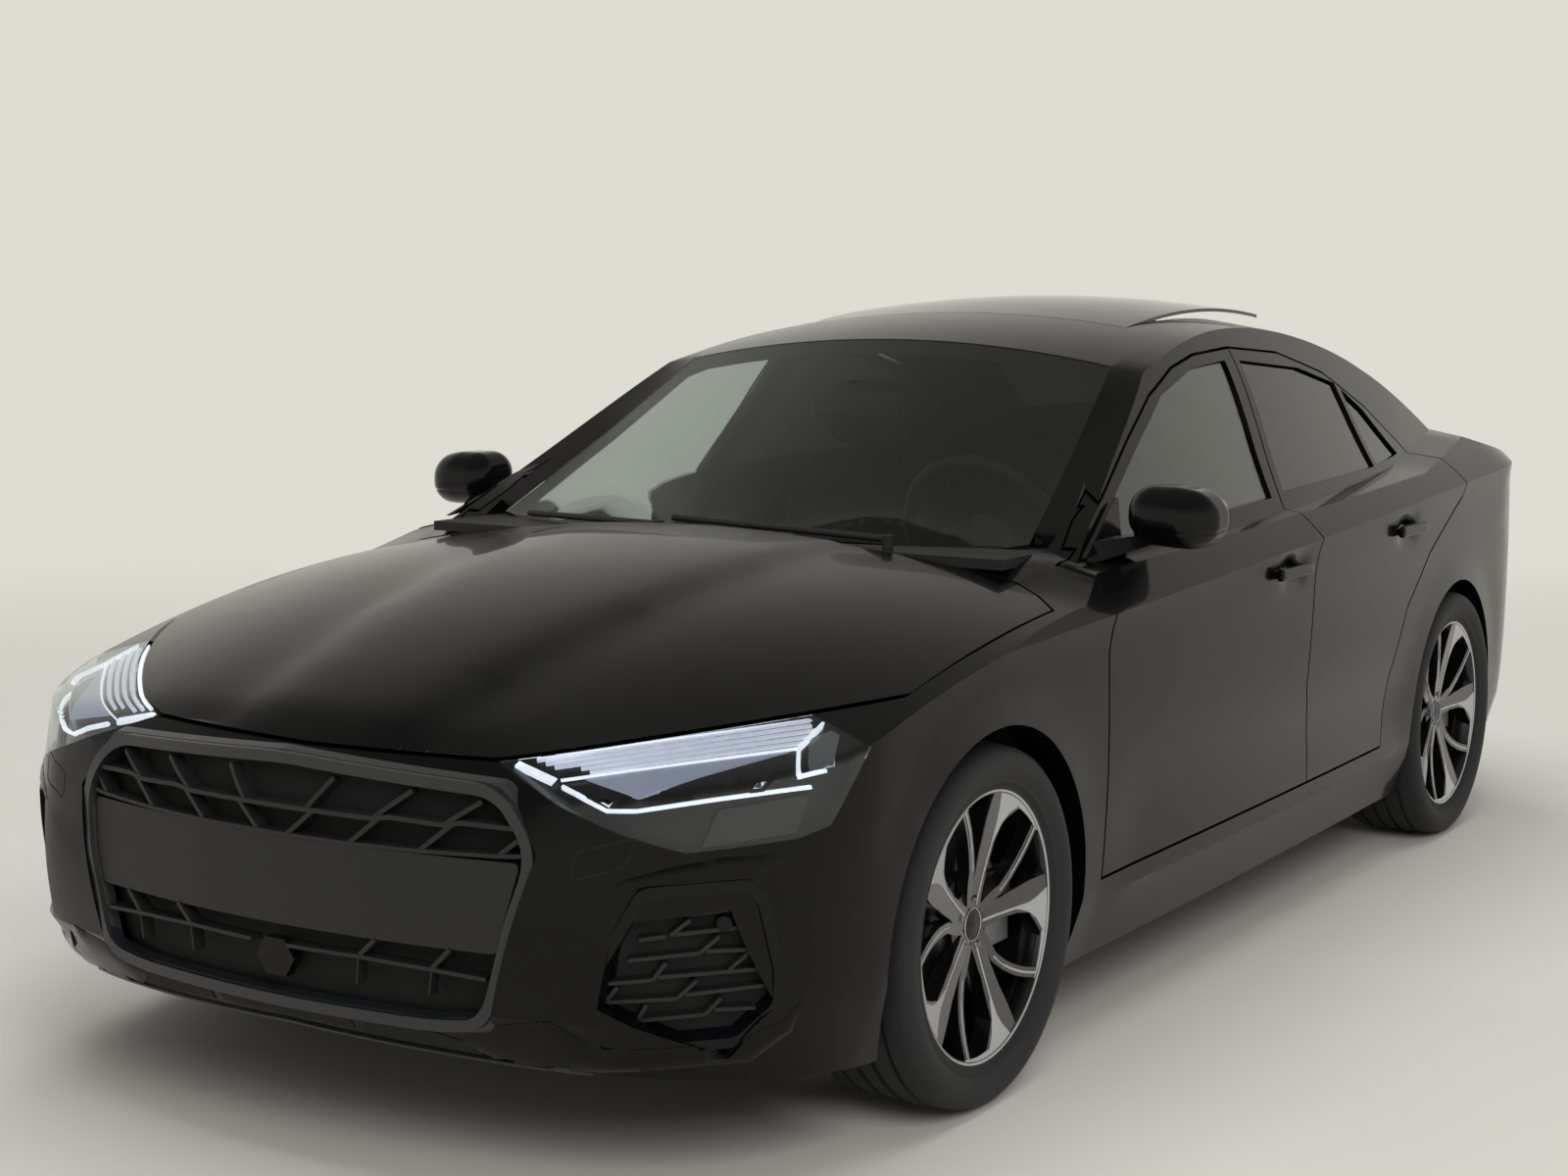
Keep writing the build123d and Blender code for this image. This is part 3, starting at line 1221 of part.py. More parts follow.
# Left half of the shell and its pieces
half_shell = shell & box(TAIL_X - 200, NOSE_X + 200, 0, 1100, 0, 1500)
lamp_left = biggest((outer & lamp_room) - hollow - bonnet_space)
wing_left = half_shell & side_cut(WING_SIDE, 0, 1000)
front_channel = door_strap(FRONT_DOOR_PIVOT, FRONT_STRAP, RUNNING_GAP, 4)
rear_channel = door_strap(REAR_DOOR_PIVOT, REAR_STRAP, RUNNING_GAP, 4)
strap_pocket = door_strap(FRONT_DOOR_PIVOT, FRONT_STRAP, MOVING_GAP, 4)
wing_left = biggest(wing_left - bonnet_space - lamp_room - front_door_space - arches - scuttle_zone - strap_pocket)
tail_lamp_left = half_shell & tail_lamp_room
outer_tail_lamp = tail_lamp_left & box(TAIL_X - 100, TAIL_X + 500, BOOT_LID_HALF_WIDTH + MOVING_GAP, 1000, 600, 1100)
lid_lamp = tail_lamp_left & box(TAIL_X - 100, TAIL_X + 500, 0, BOOT_LID_HALF_WIDTH, 600, 1100)
front_leaf = (shut_cut(FRONT_DOOR_SIDE, -MOVING_GAP / 2) & outer) - door_back - leaf_inboard
front_leaf = front_leaf - side_cut(FRONT_WINDOW_SIDE, 400, 1000) + door_handle(FRONT_HANDLE)
front_leaf = biggest(front_leaf + door_strap(FRONT_DOOR_PIVOT, FRONT_STRAP))
rear_leaf = (shut_cut(REAR_DOOR_SIDE, -MOVING_GAP / 2) & outer) - door_back - leaf_inboard
for window in (REAR_WINDOW_SIDE, QUARTER_WINDOW_SIDE):
    rear_leaf = rear_leaf - side_cut(window, 400, 1000)
rear_leaf = biggest(rear_leaf + door_handle(REAR_HANDLE) + door_strap(REAR_DOOR_PIVOT, REAR_STRAP))
glass_layer = glasshouse_form(GLASS_RECESS, 0) - glasshouse_form(GLASS_RECESS + GLASS_THICKNESS, 0)
front_pane = window_panes([FRONT_WINDOW_SIDE], glass_layer)[0]
rear_panes = window_panes([REAR_WINDOW_SIDE, QUARTER_WINDOW_SIDE], glass_layer)
post = side_cut(B_POST_SIDE, 300, 1000) & (hollow - post_back)
body_side = half_shell + post
for taken in (
    side_cut(WING_SIDE, 0, 1000),
    side_cut(FRONT_BUMPER_SIDE, -10, 1000),
    side_cut(REAR_BUMPER_SIDE, -10, 1000),
    bonnet_space,
    boot_room(MOVING_GAP),
    tail_lamp_room,
    front_door_space,
    rear_door_space,
    scuttle_zone,
    screen_room,
    roof_room,
    back_window_room,
    arches,
    rear_channel,
):
    body_side = body_side - taken
body_side = biggest(body_side + boot_bracket())

# Pieces across the car
roof = shell & roof_room
roof_back_x = SUNROOF_FRONT_X - SUNROOF_LENGTH
roof_opening = box(roof_back_x - 4, SUNROOF_FRONT_X + 4, -SUNROOF_HALF_WIDTH - 4, SUNROOF_HALF_WIDTH + 4, 1200, 1500)
roof_light = box(roof_back_x + SUNROOF_LEDGE, SUNROOF_FRONT_X - SUNROOF_LEDGE,
                 -SUNROOF_HALF_WIDTH + SUNROOF_LEDGE, SUNROOF_HALF_WIDTH - SUNROOF_LEDGE, 1200, 1500)
roof = roof - (roof_opening - roofline(SUNROOF_THICKNESS + RUNNING_GAP)) - roof_light
panel_box = box(roof_back_x, SUNROOF_FRONT_X, -SUNROOF_HALF_WIDTH, SUNROOF_HALF_WIDTH, 1200, 1500)
panel = biggest((cabin_top & panel_box) - roofline(SUNROOF_THICKNESS))
panel_hinge = Axis((SUNROOF_FRONT_X, 0, SUNROOF_HINGE_Z), (0, 1, 0))
screen_layer = cabin_top - roofline(SCREEN_DROP)
bumper = shell & side_cut(FRONT_BUMPER_SIDE, -1000, 1000)
for taken in (lamp_room, other_side(lamp_room), bonnet_space, front_cut(GRILLE_FRONT, *lattice_x),
              front_cut(INTAKE_FRONT, *lattice_x), other_side(front_cut(INTAKE_FRONT, *lattice_x)), all_arches):
    bumper = bumper - taken
lid = (shell & boot_room(0)) - tail_lamp_room - other_side(tail_lamp_room)
lid = lid + boot_arm() + other_side(boot_arm())
bonnet = (outer & bonnet_room(0)) - deck(LID_THICKNESS)
bonnet = bonnet + bonnet_arm() + other_side(bonnet_arm())
slot_half = HINGE_ARM_WIDTH / 2 + HINGE_SIDE_GAP + HINGE_CHEEK + 2
hinge_slot = box(BONNET_HINGE[0] - 15, BONNET_REAR_X, BONNET_HINGE_Y - slot_half, BONNET_HINGE_Y + slot_half,
                 SCUTTLE_Z - SCUTTLE_THICKNESS - 1, SCUTTLE_Z + 1)
scuttle = box(SCUTTLE_BACK_X, BONNET_REAR_X - MOVING_GAP, -SCUTTLE_HALF_WIDTH, SCUTTLE_HALF_WIDTH,
              SCUTTLE_Z - SCUTTLE_THICKNESS, SCUTTLE_Z)
pan = floor_pan(hollow) - all_arches - front_channel - other_side(front_channel)
pan = pan + bonnet_bracket() + other_side(bonnet_bracket())
shelf = box(BOOT_LID_X + 40, BULKHEAD_X, -800, 800, BELT_Z, BELT_Z + 18) & hollow

nodes = {
    "floor_pan": biggest(pan),
    **both_sides("body_side", body_side),
    "roof_panel": biggest(roof),
    "sunroof_glass": panel.rotate(panel_hinge, SUNROOF_TILT),
    "scuttle_panel": biggest(scuttle - hinge_slot - other_side(hinge_slot)),
    "front_wings": pair(wing_left),
    "front_bumper": biggest(bumper),
    "grille": biggest(grille_lattice(lattice_x) & grille_skin()),
    "side_intakes": pair(intake_lattice(lattice_x) & front_layer(outer, 560, 860, 220, 520)),
    "headlamps": pair(lamp_left),
    "rear_bumper": biggest((shell & side_cut(REAR_BUMPER_SIDE, -1000, 1000)) - all_arches),
    "tail_lamps": pair(outer_tail_lamp),
    "windscreen": biggest(screen_layer & screen_room),
    "rear_window": biggest(screen_layer & back_window_room),
    "arch_liners": arch_liners(),
    "engine_block": box(*ENGINE_X, *ENGINE_Y, *ENGINE_Z),
    "radiator": box(CRASH_BEAM_X[1], CRASH_BEAM_X[1] + 26, -310, 310, 275, 600),
    "front_subframe": front_subframe(),
    "rear_axle": rear_axle(),
    "rear_knuckles": pair(rear_knuckle()),
    "fuel_tank": fuel_tank(),
    "exhaust": exhaust(),
    "front_seats": pair(seat(40, SEAT_Y, SEAT_HALF_WIDTH, 450, 560)),
    "rear_bench": rear_bench(),
    "dashboard": dashboard(),
    "centre_console": centre_console(),
    "parcel_shelf": biggest(shelf),
    "wipers": wipers(),
    "interior_mirror": interior_mirror(),
    **both_sides("door_front", front_leaf),
    **both_sides("door_rear", rear_leaf),
    **both_sides("glass_front", front_pane),
    **both_sides("glass_rear", Compound(children=rear_panes)),
    **both_sides("door_mirror", door_mirror(front_leaf)),
    "bonnet": biggest(bonnet),
    "boot_lid": biggest(lid),
    "lid_lamps": pair(lid_lamp),
    "steering_wheel": steering_wheel(),
    **both_sides("front_knuckle", front_knuckle()),
    **both_sides("front_wheel", wheel(FRONT_AXLE_X, FRONT_WHEEL_Y)),
    **both_sides("rear_wheel", wheel(REAR_AXLE_X, REAR_WHEEL_Y)),
    **both_sides("front_tyre", tyre(FRONT_AXLE_X, FRONT_WHEEL_Y)),
    **both_sides("rear_tyre", tyre(REAR_AXLE_X, REAR_WHEEL_Y)),
}

os.makedirs("parts", exist_ok=True)
for name, shape in nodes.items():
    export_step(shape, "parts/" + name + ".step")
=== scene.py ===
import itertools
import math

import bmesh
import bpy
import numpy as np
from bpy.props import FloatProperty, FloatVectorProperty, IntProperty, PointerProperty
from mathutils import Matrix, Vector
from mathutils.bvhtree import BVHTree
from mathutils.geometry import delaunay_2d_cdt


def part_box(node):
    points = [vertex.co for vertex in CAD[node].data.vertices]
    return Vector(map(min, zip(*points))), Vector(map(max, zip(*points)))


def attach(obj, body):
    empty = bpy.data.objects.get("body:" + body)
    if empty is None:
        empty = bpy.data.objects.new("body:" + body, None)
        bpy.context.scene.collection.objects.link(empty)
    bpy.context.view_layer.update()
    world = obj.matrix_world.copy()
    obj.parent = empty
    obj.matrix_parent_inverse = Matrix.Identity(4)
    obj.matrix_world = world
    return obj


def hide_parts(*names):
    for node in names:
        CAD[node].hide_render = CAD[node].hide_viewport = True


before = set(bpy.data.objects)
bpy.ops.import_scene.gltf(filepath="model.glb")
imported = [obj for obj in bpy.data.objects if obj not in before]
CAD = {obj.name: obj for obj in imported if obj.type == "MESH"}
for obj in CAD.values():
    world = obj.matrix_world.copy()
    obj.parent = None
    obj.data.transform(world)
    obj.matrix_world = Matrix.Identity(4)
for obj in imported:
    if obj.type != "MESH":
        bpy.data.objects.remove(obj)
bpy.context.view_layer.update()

bl_info = {
    "name": "Compact saloon dressing",
    "version": (1, 0, 0),
    "blender": (4, 5, 0),
    "location": "View3D > Sidebar > Saloon",
    "description": "Panels, lamps, wheels, glass and cabin around the packed saloon",
    "category": "Object",
}

MM = 0.001
LEFT_RIGHT = (("left", 1.0), ("right", -1.0))
AXLES = (("front", 1.370, 0.777), ("rear", -1.260, 0.767))
WHEEL_Z = 0.3235
SEAT_Y = 370.0
SEAT_CUSHION_Z = 450.0
CAMERA_PLACE = (5.0981, 2.8192, 1.4296)
CAMERA_YAW = 3.70786732
CAMERA_PITCH = 0.120917291
CAMERA_ROLL = 0.00332141503
FOCAL_PIXELS = 2500.7
PHOTO_SIZE = (1600, 1200)

# Sizes and colours a user may change

class SaloonSettings(bpy.types.PropertyGroup):
    paint: FloatVectorProperty(
        name="Paint", description="Colour of the painted panels", subtype="COLOR", size=3,
        default=(0.0016, 0.0016, 0.0019), min=0, max=1)
    cloth: FloatVectorProperty(
        name="Seat cloth", description="Darker tone of the seat cloth", subtype="COLOR", size=3,
        default=(0.011, 0.012, 0.014), min=0, max=1)
    turned_face: FloatVectorProperty(
        name="Turned alloy", description="Colour of the turned wheel faces", subtype="COLOR", size=3,
        default=(0.468, 0.479, 0.497), min=0, max=1)
    backdrop: FloatVectorProperty(
        name="Backdrop", description="Colour of the background", subtype="COLOR", size=3,
        default=(0.730, 0.716, 0.651), min=0, max=1)
    guide_strength: FloatProperty(
        name="Light guides", description="Brightness of the lit headlamp guides", default=1.0, min=0, max=5)
    crease_depth: FloatProperty(
        name="Shoulder crease", description="How far the doors fall in under the shoulder crease, in metres",
        default=0.007, min=0, max=0.012, unit="LENGTH")
    bonnet_crease: FloatProperty(
        name="Bonnet crease", description="Drop of the bonnet outside its two creases, in metres",
        default=0.0065, min=0, max=0.012, unit="LENGTH")
    seam_depth: FloatProperty(
        name="Seat seams", description="Depth of the sewn grooves in the seats, in metres",
        default=0.006, min=0, max=0.012, unit="LENGTH")
    tread_blocks: IntProperty(
        name="Tread blocks", description="Blocks round each shoulder of a tyre", default=72, min=24, max=96)


def settings():
    return bpy.context.scene.saloon


# Materials

def linear(code):
    """Linear RGBA from an sRGB hex code."""
    parts = [int(code[i:i + 2], 16) / 255 for i in (1, 3, 5)]
    return [c / 12.92 if c <= 0.04045 else ((c + 0.055) / 1.055) ** 2.4 for c in parts] + [1.0]


def fill(tree, node, inputs):
    """Gives a node's inputs their values or links."""
    for key, value in inputs.items():
        if isinstance(value, bpy.types.NodeSocket):
            tree.links.new(value, node.inputs[key])
        else:
            node.inputs[key].default_value = value


def add(tree, kind, inputs=None, **settings):
    """Adds one node with its settings, input values and links."""
    made = tree.nodes.new(kind)
    for key, value in settings.items():
        setattr(made, key, value)
    fill(tree, made, inputs or {})
    return made


def new_material(name):
    """Empty material: itself, its tree, its shader and the piece's own coordinates."""
    material = bpy.data.materials.new(name)
    material.use_nodes = True
    tree = material.node_tree
    return material, tree, tree.nodes["Principled BSDF"], add(tree, "ShaderNodeTexCoord").outputs["Object"]


FINISHES = [
    # name, dark tone, light tone, metallic, roughness low, roughness high, pattern mm, bump mm, coat
    # Two-stage black enamel: deep, wet-looking, with faint orange peel
    ("gloss_enamel", "#050506", "#09090b", 0.0, 0.22, 0.30, 6.0, 0.003, 0.45),
    # Piano-black moulded trim: a little warmer and less deep than the enamel
    ("piano_black_trim", "#08080a", "#0d0d0f", 0.0, 0.12, 0.20, 30.0, 0.004, 0.5),
    # Satin black lacquer on the grille frame
    ("satin_lacquer", "#17181a", "#1f2023", 0.0, 0.34, 0.42, 2.0, 0.010, 0.2),
    # Grained black polypropylene
    ("grained_plastic", "#141416", "#1d1d20", 0.0, 0.52, 0.66, 1.2, 0.060, 0.0),
    # Bitumen-coated sheet under the floor: dull, dusty
    ("underbody_coating", "#18191a", "#2a2926", 0.0, 0.70, 0.90, 14.0, 0.250, 0.0),
    # Cast aluminium, as cast
    ("cast_aluminium", "#8b8d90", "#a3a4a6", 1.0, 0.42, 0.58, 2.5, 0.060, 0.0),
    # Turned grey iron of the brake discs
    ("turned_iron", "#777a7d", "#8f9193", 1.0, 0.28, 0.38, 1.5, 0.010, 0.0),
    # Black powder coat on the wheels
    ("wheel_lacquer", "#0b0b0d", "#131316", 0.3, 0.20, 0.28, 3.0, 0.006, 1.0),
    # Diamond-turned face of the wheel blades
    ("turned_alloy", "#b6b8bb", "#cdced0", 1.0, 0.20, 0.30, 0.8, 0.006, 0.4),
    # Tyre rubber with a dusty bloom
    ("tyre_rubber", "#17171a", "#26262a", 0.0, 0.62, 0.80, 3.0, 0.080, 0.0),
    # Woven black seat cloth
    ("seat_weave", "#1b1c1f", "#2d2e32", 0.0, 0.80, 0.95, 2.0, 0.300, 0.0),
    # Slush-moulded cabin skin
    ("cabin_skin", "#1d1e20", "#27282b", 0.0, 0.50, 0.62, 1.6, 0.080, 0.0),
    # Bright stainless pipe
    ("stainless_pipe", "#9a9691", "#bab6b0", 1.0, 0.22, 0.34, 5.0, 0.010, 0.0),
    # Blow-moulded tank
    ("tank_polyethylene", "#151515", "#202020", 0.0, 0.55, 0.70, 8.0, 0.080, 0.0),
    # Vacuum-metallised reflector
    ("metallised_reflector", "#c9ccd0", "#e2e4e6", 1.0, 0.08, 0.16, 10.0, 0.002, 0.0),
    # Painted plate blank with a fine grain
    ("plate_aluminium", "#c9c9c4", "#d6d6d2", 0.0, 0.35, 0.45, 2.0, 0.010, 0.2),
    # Carpet in the cabin and boot; the same dark felt makes the sheets of painted shade in the grille, intakes and
    # splitter openings
    ("needle_felt", "#141415", "#222224", 0.0, 0.90, 1.00, 2.0, 0.400, 0.0),
]


COAT_ROUGHNESS = 0.03
# Deep black coats: weight from which the base loses its own reflection, that reflection's level, coat IOR
DEEP_COAT, DEEP_SPECULAR, DEEP_COAT_IOR = 0.4, 0.05, 1.4
# How much lighter the second tone of a chosen colour is
CHOSEN_LIFT = 1.45


def finish(row, chosen=None):
    """Material of one row: two tones, a roughness range and a fine bump, all from real sizes."""
    name, dark, light, metallic, low, high, size, depth, coat = row
    material, tree, shader, place = new_material(name)
    fine = add(tree, "ShaderNodeTexNoise", {"Vector": place, "Scale": 1000.0 / size, "Detail": 3.0})
    broad = add(tree, "ShaderNodeTexNoise", {"Vector": place, "Scale": 2.3, "Detail": 5.0})
    both = add(tree, "ShaderNodeMath", {0: fine.outputs["Fac"], 1: broad.outputs["Fac"]}, operation="MULTIPLY")
    tones = [linear(dark), linear(light)]
    if chosen:
        tone = list(getattr(settings(), chosen))
        tones = [tone + [1.0], [min(c * CHOSEN_LIFT, 1.0) for c in tone] + [1.0]]
    colour = add(tree, "ShaderNodeMix", {"Factor": both.outputs["Value"], 6: tones[0], 7: tones[1]}, data_type="RGBA")
    bump = add(tree, "ShaderNodeBump", {"Height": fine.outputs["Fac"], "Distance": depth * MM, "Strength": 1.0})
    rough = add(tree, "ShaderNodeMapRange", {"Value": broad.outputs["Fac"], "To Min": low, "To Max": high})
    fill(tree, shader, {
        "Base Color": colour.outputs[2], "Roughness": rough.outputs["Result"], "Normal": bump.outputs["Normal"],
        "Metallic": metallic, "Coat Weight": coat, "Coat Roughness": COAT_ROUGHNESS})
    if coat > DEEP_COAT and not metallic:
        fill(tree, shader, {"Specular IOR Level": DEEP_SPECULAR, "Coat IOR": DEEP_COAT_IOR})
    return material


GLASSES = [
    # name, tint, roughness, IOR
    # Laminated windscreen glass
    ("laminated_glass", "#dfe7e3", 0.0, 1.50),
    # Toughened glass with a light green-grey tint
    ("tinted_glass", "#d3dad5", 0.0, 1.50),
    # Dark-dyed privacy glass
    ("privacy_glass", "#1d2022", 0.0, 1.50),
    # Clear polycarbonate lamp lens
    ("lamp_polycarbonate", "#e8edf0", 0.0, 1.45),
    # Red polycarbonate lamp lens
    ("red_polycarbonate", "#c8303a", 0.02, 1.45),
]
FILM_ROUGHNESS = 0.03


def glass(row):
    """Clear material with a faint film of dust that dulls it in patches."""
    name, tint, rough, ior = row
    material, tree, shader, place = new_material(name)
    film = add(tree, "ShaderNodeTexNoise", {"Vector": place, "Scale": 3.0, "Detail": 6.0})
    dull = add(tree, "ShaderNodeMapRange", {"Value": film.outputs["Fac"], "From Min": 0.45, "From Max": 0.8,
                                            "To Min": rough, "To Max": rough + FILM_ROUGHNESS})
    fill(tree, shader, {"Roughness": dull.outputs["Result"], "Base Color": linear(tint), "Transmission Weight": 1.0,
                        "IOR": ior})
    return material


def glowing(name, code, strength):
    """Glowing piece: its own colour and a soft glow, a little uneven along its length. Guides and bricks are lit; on
    the prism the glow is a painted reflection.
    """
    material, tree, shader, place = new_material(name)
    uneven = add(tree, "ShaderNodeTexNoise", {"Vector": place, "Scale": 60.0})
    level = add(tree, "ShaderNodeMapRange", {"Value": uneven.outputs["Fac"], "To Min": strength * 0.8,
                                             "To Max": strength * 1.2})
    fill(tree, shader, {"Emission Strength": level.outputs["Result"], "Base Color": linear(code),
                        "Emission Color": linear(code), "Roughness": 0.3})
    return material


MATERIALS = {}
# Finishes whose colour is one of the settings
CHOSEN = {"gloss_enamel": "paint", "seat_weave": "cloth", "turned_alloy": "turned_face"}


def make_materials():
    for row in FINISHES:
        MATERIALS[row[0]] = finish(row, CHOSEN.get(row[0]))
    for row in GLASSES:
        MATERIALS[row[0]] = glass(row)
    # Lit acrylic: white light guide, white bricks and red tail guide; the dim lavender glow of the prism is a painted
    # reflection
    for name, code, strength in (("lit_guide", "#f4f8ff", settings().guide_strength), ("lit_brick", "#dfe4f2", 0.62),
                                 ("lit_prism", "#a9aec4", 0.45), ("lit_tail", "#e0202a", 0.9)):
        MATERIALS[name] = glowing(name, code, strength)


NODE_FINISH = [
    # finish, CAD nodes that keep their shape
    ("underbody_coating", ("floor_pan", "front_subframe", "rear_axle", "arch_liners")),
    ("cast_aluminium", ("engine_block", "rear_knuckles", "front_knuckle_left", "front_knuckle_right")),
    ("grained_plastic", ("scuttle_panel", "radiator", "interior_mirror", "wipers")),
    ("cabin_skin", ("dashboard", "centre_console", "steering_wheel")),
    ("needle_felt", ("parcel_shelf",)),
    ("stainless_pipe", ("exhaust",)),
    ("tank_polyethylene", ("fuel_tank",)),
    ("tyre_rubber", ("front_tyre_left", "front_tyre_right", "rear_tyre_left", "rear_tyre_right")),
    ("wheel_lacquer", ("front_wheel_left", "front_wheel_right", "rear_wheel_left", "rear_wheel_right")),
]

# Painted panels: those fixed to the car's body, and those that are bodies of their own
FIXED_PANELS = ("body_side_left", "body_side_right", "roof_panel", "front_wings", "front_bumper", "rear_bumper")
MOVING_PANELS = ("door_front_left", "door_front_right", "door_rear_left", "door_rear_right", "bonnet", "boot_lid")

PANES = [
    # CAD node, body, glass, slot
    ("windscreen", "body", "laminated_glass", "clear_glass"),
    ("glass_front_left", "door_front_left", "tinted_glass", "clear_glass"),
    ("glass_front_right", "door_front_right", "tinted_glass", "clear_glass"),
    ("glass_rear_left", "door_rear_left", "privacy_glass", "privacy_glass"),
    ("glass_rear_right", "door_rear_right", "privacy_glass", "privacy_glass"),
    ("rear_window", "body", "privacy_glass", "privacy_glass"),
    ("sunroof_glass", "body", "privacy_glass", "roof_glass"),
]


# Mesh helpers

def link(name, mesh, material, body="body", replaced=None):
    """Visible piece with its material, its body and the CAD node that it stands for."""
    piece = bpy.data.objects.new(name, mesh)
    bpy.context.scene.collection.objects.link(piece)
    piece.data.materials.append(MATERIALS[material])
    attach(piece, body)
    if replaced:
        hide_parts(replaced)
    return piece


def node_copy(node):
    """CAD node's mesh as a welded bmesh."""
    bm = bmesh.new()
    bm.from_mesh(CAD[node].data)
    bmesh.ops.remove_doubles(bm, verts=bm.verts, dist=0.00005)
    bmesh.ops.dissolve_degenerate(bm, edges=bm.edges, dist=0.00002)
    bmesh.ops.triangulate(bm, faces=bm.faces)
    return bm


def triangles(bm):
    bmesh.ops.triangulate(bm, faces=[face for face in bm.faces if len(face.verts) > 3])


def halve(bm, edges):
    if edges:
        bmesh.ops.subdivide_edges(bm, edges=edges, cuts=1)
        triangles(bm)


def split_long_edges(bm, longest, rounds=4):
    """Halves long edges so that bent faces can carry smooth shading."""
    for _ in range(rounds):
        halve(bm, [edge for edge in bm.edges if edge.calc_length() > longest])


def corner_groups(points, tris, sharp_angle):
    """One group for each fan of corners that shade as one, and the links between them."""
    a, b, c = (points[tris[:, k]] for k in range(3))
    normals = np.cross(b - a, c - a)
    areas = np.linalg.norm(normals, axis=1)
    normals = normals / np.maximum(areas, 1e-12)[:, None]
    limit = math.cos(sharp_angle)
    parent = list(range(len(tris) * 3))

    def root(i):
        while parent[i] != i:
            parent[i] = parent[parent[i]]
            i = parent[i]
        return i

    seen = {}
    for t, tri in enumerate(tris.tolist()):
        for k in range(3):
            p, q = tri[k], tri[(k + 1) % 3]
            key = (p, q) if p < q else (q, p)
            corners = {p: t * 3 + k, q: t * 3 + (k + 1) % 3}
            if key in seen:
                other, others = seen[key]
                if normals[other] @ normals[t] > limit:
                    for v in key:
                        parent[root(corners[v])] = root(others[v])
            else:
                seen[key] = (t, corners)
    roots = np.array([root(i) for i in range(len(parent))])
    unique, group = np.unique(roots, return_inverse=True)
    return group.reshape(-1, 3), normals, areas, len(unique)


def unit_rows(rows):
    return rows / np.maximum(np.linalg.norm(rows, axis=1), 1e-12)[:, None]


def smooth_normals(mesh, sharp_angle, rounds):
    """Evens out the shading inside each smooth area and keeps its sharp edges."""
    points = np.empty(len(mesh.vertices) * 3)
    mesh.vertices.foreach_get("co", points)
    points = points.reshape(-1, 3)
    tris = np.empty(len(mesh.polygons) * 3, int)
    mesh.polygons.foreach_get("vertices", tris)
    tris = tris.reshape(-1, 3)
    group, normals, areas, count = corner_groups(points, tris, sharp_angle)
    total = np.zeros((count, 3))
    place = np.zeros((count, 3))
    for k in range(3):
        np.add.at(total, group[:, k], normals * areas[:, None])
        place[group[:, k]] = points[tris[:, k]]
    total = unit_rows(total)
    first = np.concatenate([group[:, 0], group[:, 1], group[:, 2]])
    second = np.concatenate([group[:, 1], group[:, 2], group[:, 0]])
    pull = 1.0 / (np.linalg.norm(place[first] - place[second], axis=1) + 0.004)
    for _ in range(rounds):
        spread = np.zeros((count, 3))
        weight = np.zeros(count)
        for i, j in ((first, second), (second, first)):
            np.add.at(spread, i, total[j] * pull[:, None])
            np.add.at(weight, i, pull)
        total = unit_rows(0.5 * total + 0.5 * spread / np.maximum(weight, 1e-12)[:, None])
    mesh.polygons.foreach_set("use_smooth", [True] * len(mesh.polygons))
    mesh.normals_split_custom_set(total[group.ravel()].tolist())


def bm_to_mesh(bm, name):
    mesh = bpy.data.meshes.new(name)
    bm.to_mesh(mesh)
    bm.free()
    return mesh


def join(parts, name):
    """One mesh from several bmeshes."""
    bm = bmesh.new()
    for part in parts:
        mesh = bm_to_mesh(part, "part")
        bm.from_mesh(mesh)
        bpy.data.meshes.remove(mesh)
    return bm_to_mesh(bm, name)


def block(low, high):
    """Plain box between two corners, in millimetres."""
    bm = bmesh.new()
    bmesh.ops.create_cube(bm, size=1.0)
    low, high = Vector(low), Vector(high)
    bmesh.ops.scale(bm, vec=(high - low) * MM, verts=bm.verts)
    bmesh.ops.translate(bm, vec=(low + high) / 2 * MM, verts=bm.verts)
    return bm


def mirrored(mesh, name):
    """The same mesh on the car's right."""
    bm = bmesh.new()
    bm.from_mesh(mesh)
    bmesh.ops.scale(bm, vec=(1, -1, 1), verts=bm.verts)
    bmesh.ops.reverse_faces(bm, faces=bm.faces)
    return bm_to_mesh(bm, name)


def shade(mesh, angle=35.0):
    """Smooth shading with sharp edges above an angle."""
    mesh.polygons.foreach_set("use_smooth", [True] * len(mesh.polygons))
    mesh.set_sharp_from_angle(angle=math.radians(angle))


def bridge(bm, one, two):
    """Quads between two rings of vertices."""
    for k, (a, b) in enumerate(zip(one, two)):
        n = (k + 1) % len(one)
        bm.faces.new((a, one[n], two[n], b))


def lathe(profile, segments):
    """Closed ring turned about the Y axis. The profile runs (outward offset, radius)."""
    bm = bmesh.new()
    rings = []
    for i in range(segments):
        turn = 2 * math.pi * i / segments
        rings.append([bm.verts.new((r * math.cos(turn) * MM, y * MM, r * math.sin(turn) * MM)) for y, r in profile])
    for one, two in zip(rings, rings[1:] + rings[:1]):
        bridge(bm, one, two)
    bmesh.ops.recalc_face_normals(bm, faces=bm.faces)
    return bm


def prism(bm, loop, low, high, chamfer=0.0):
    """Closed prism from a loop of points: low and high give each point's two ends."""
    centre = sum((Vector(p) for p in loop), Vector((0, 0))) / len(loop)
    rings = [[bm.verts.new(low(p)) for p in loop], [bm.verts.new(high(p, 1.0 if chamfer else 0.0)) for p in loop]]
    if chamfer:
        inner = []
        for p in loop:
            way = centre - Vector(p)
            inner.append(tuple(Vector(p) + way.normalized() * min(chamfer, way.length * 0.4)))
        rings.append([bm.verts.new(high(p, 0.0)) for p in inner])
    for one, two in zip(rings, rings[1:]):
        bridge(bm, one, two)
    bm.faces.new(rings[0][::-1])
    bm.faces.new(rings[-1])


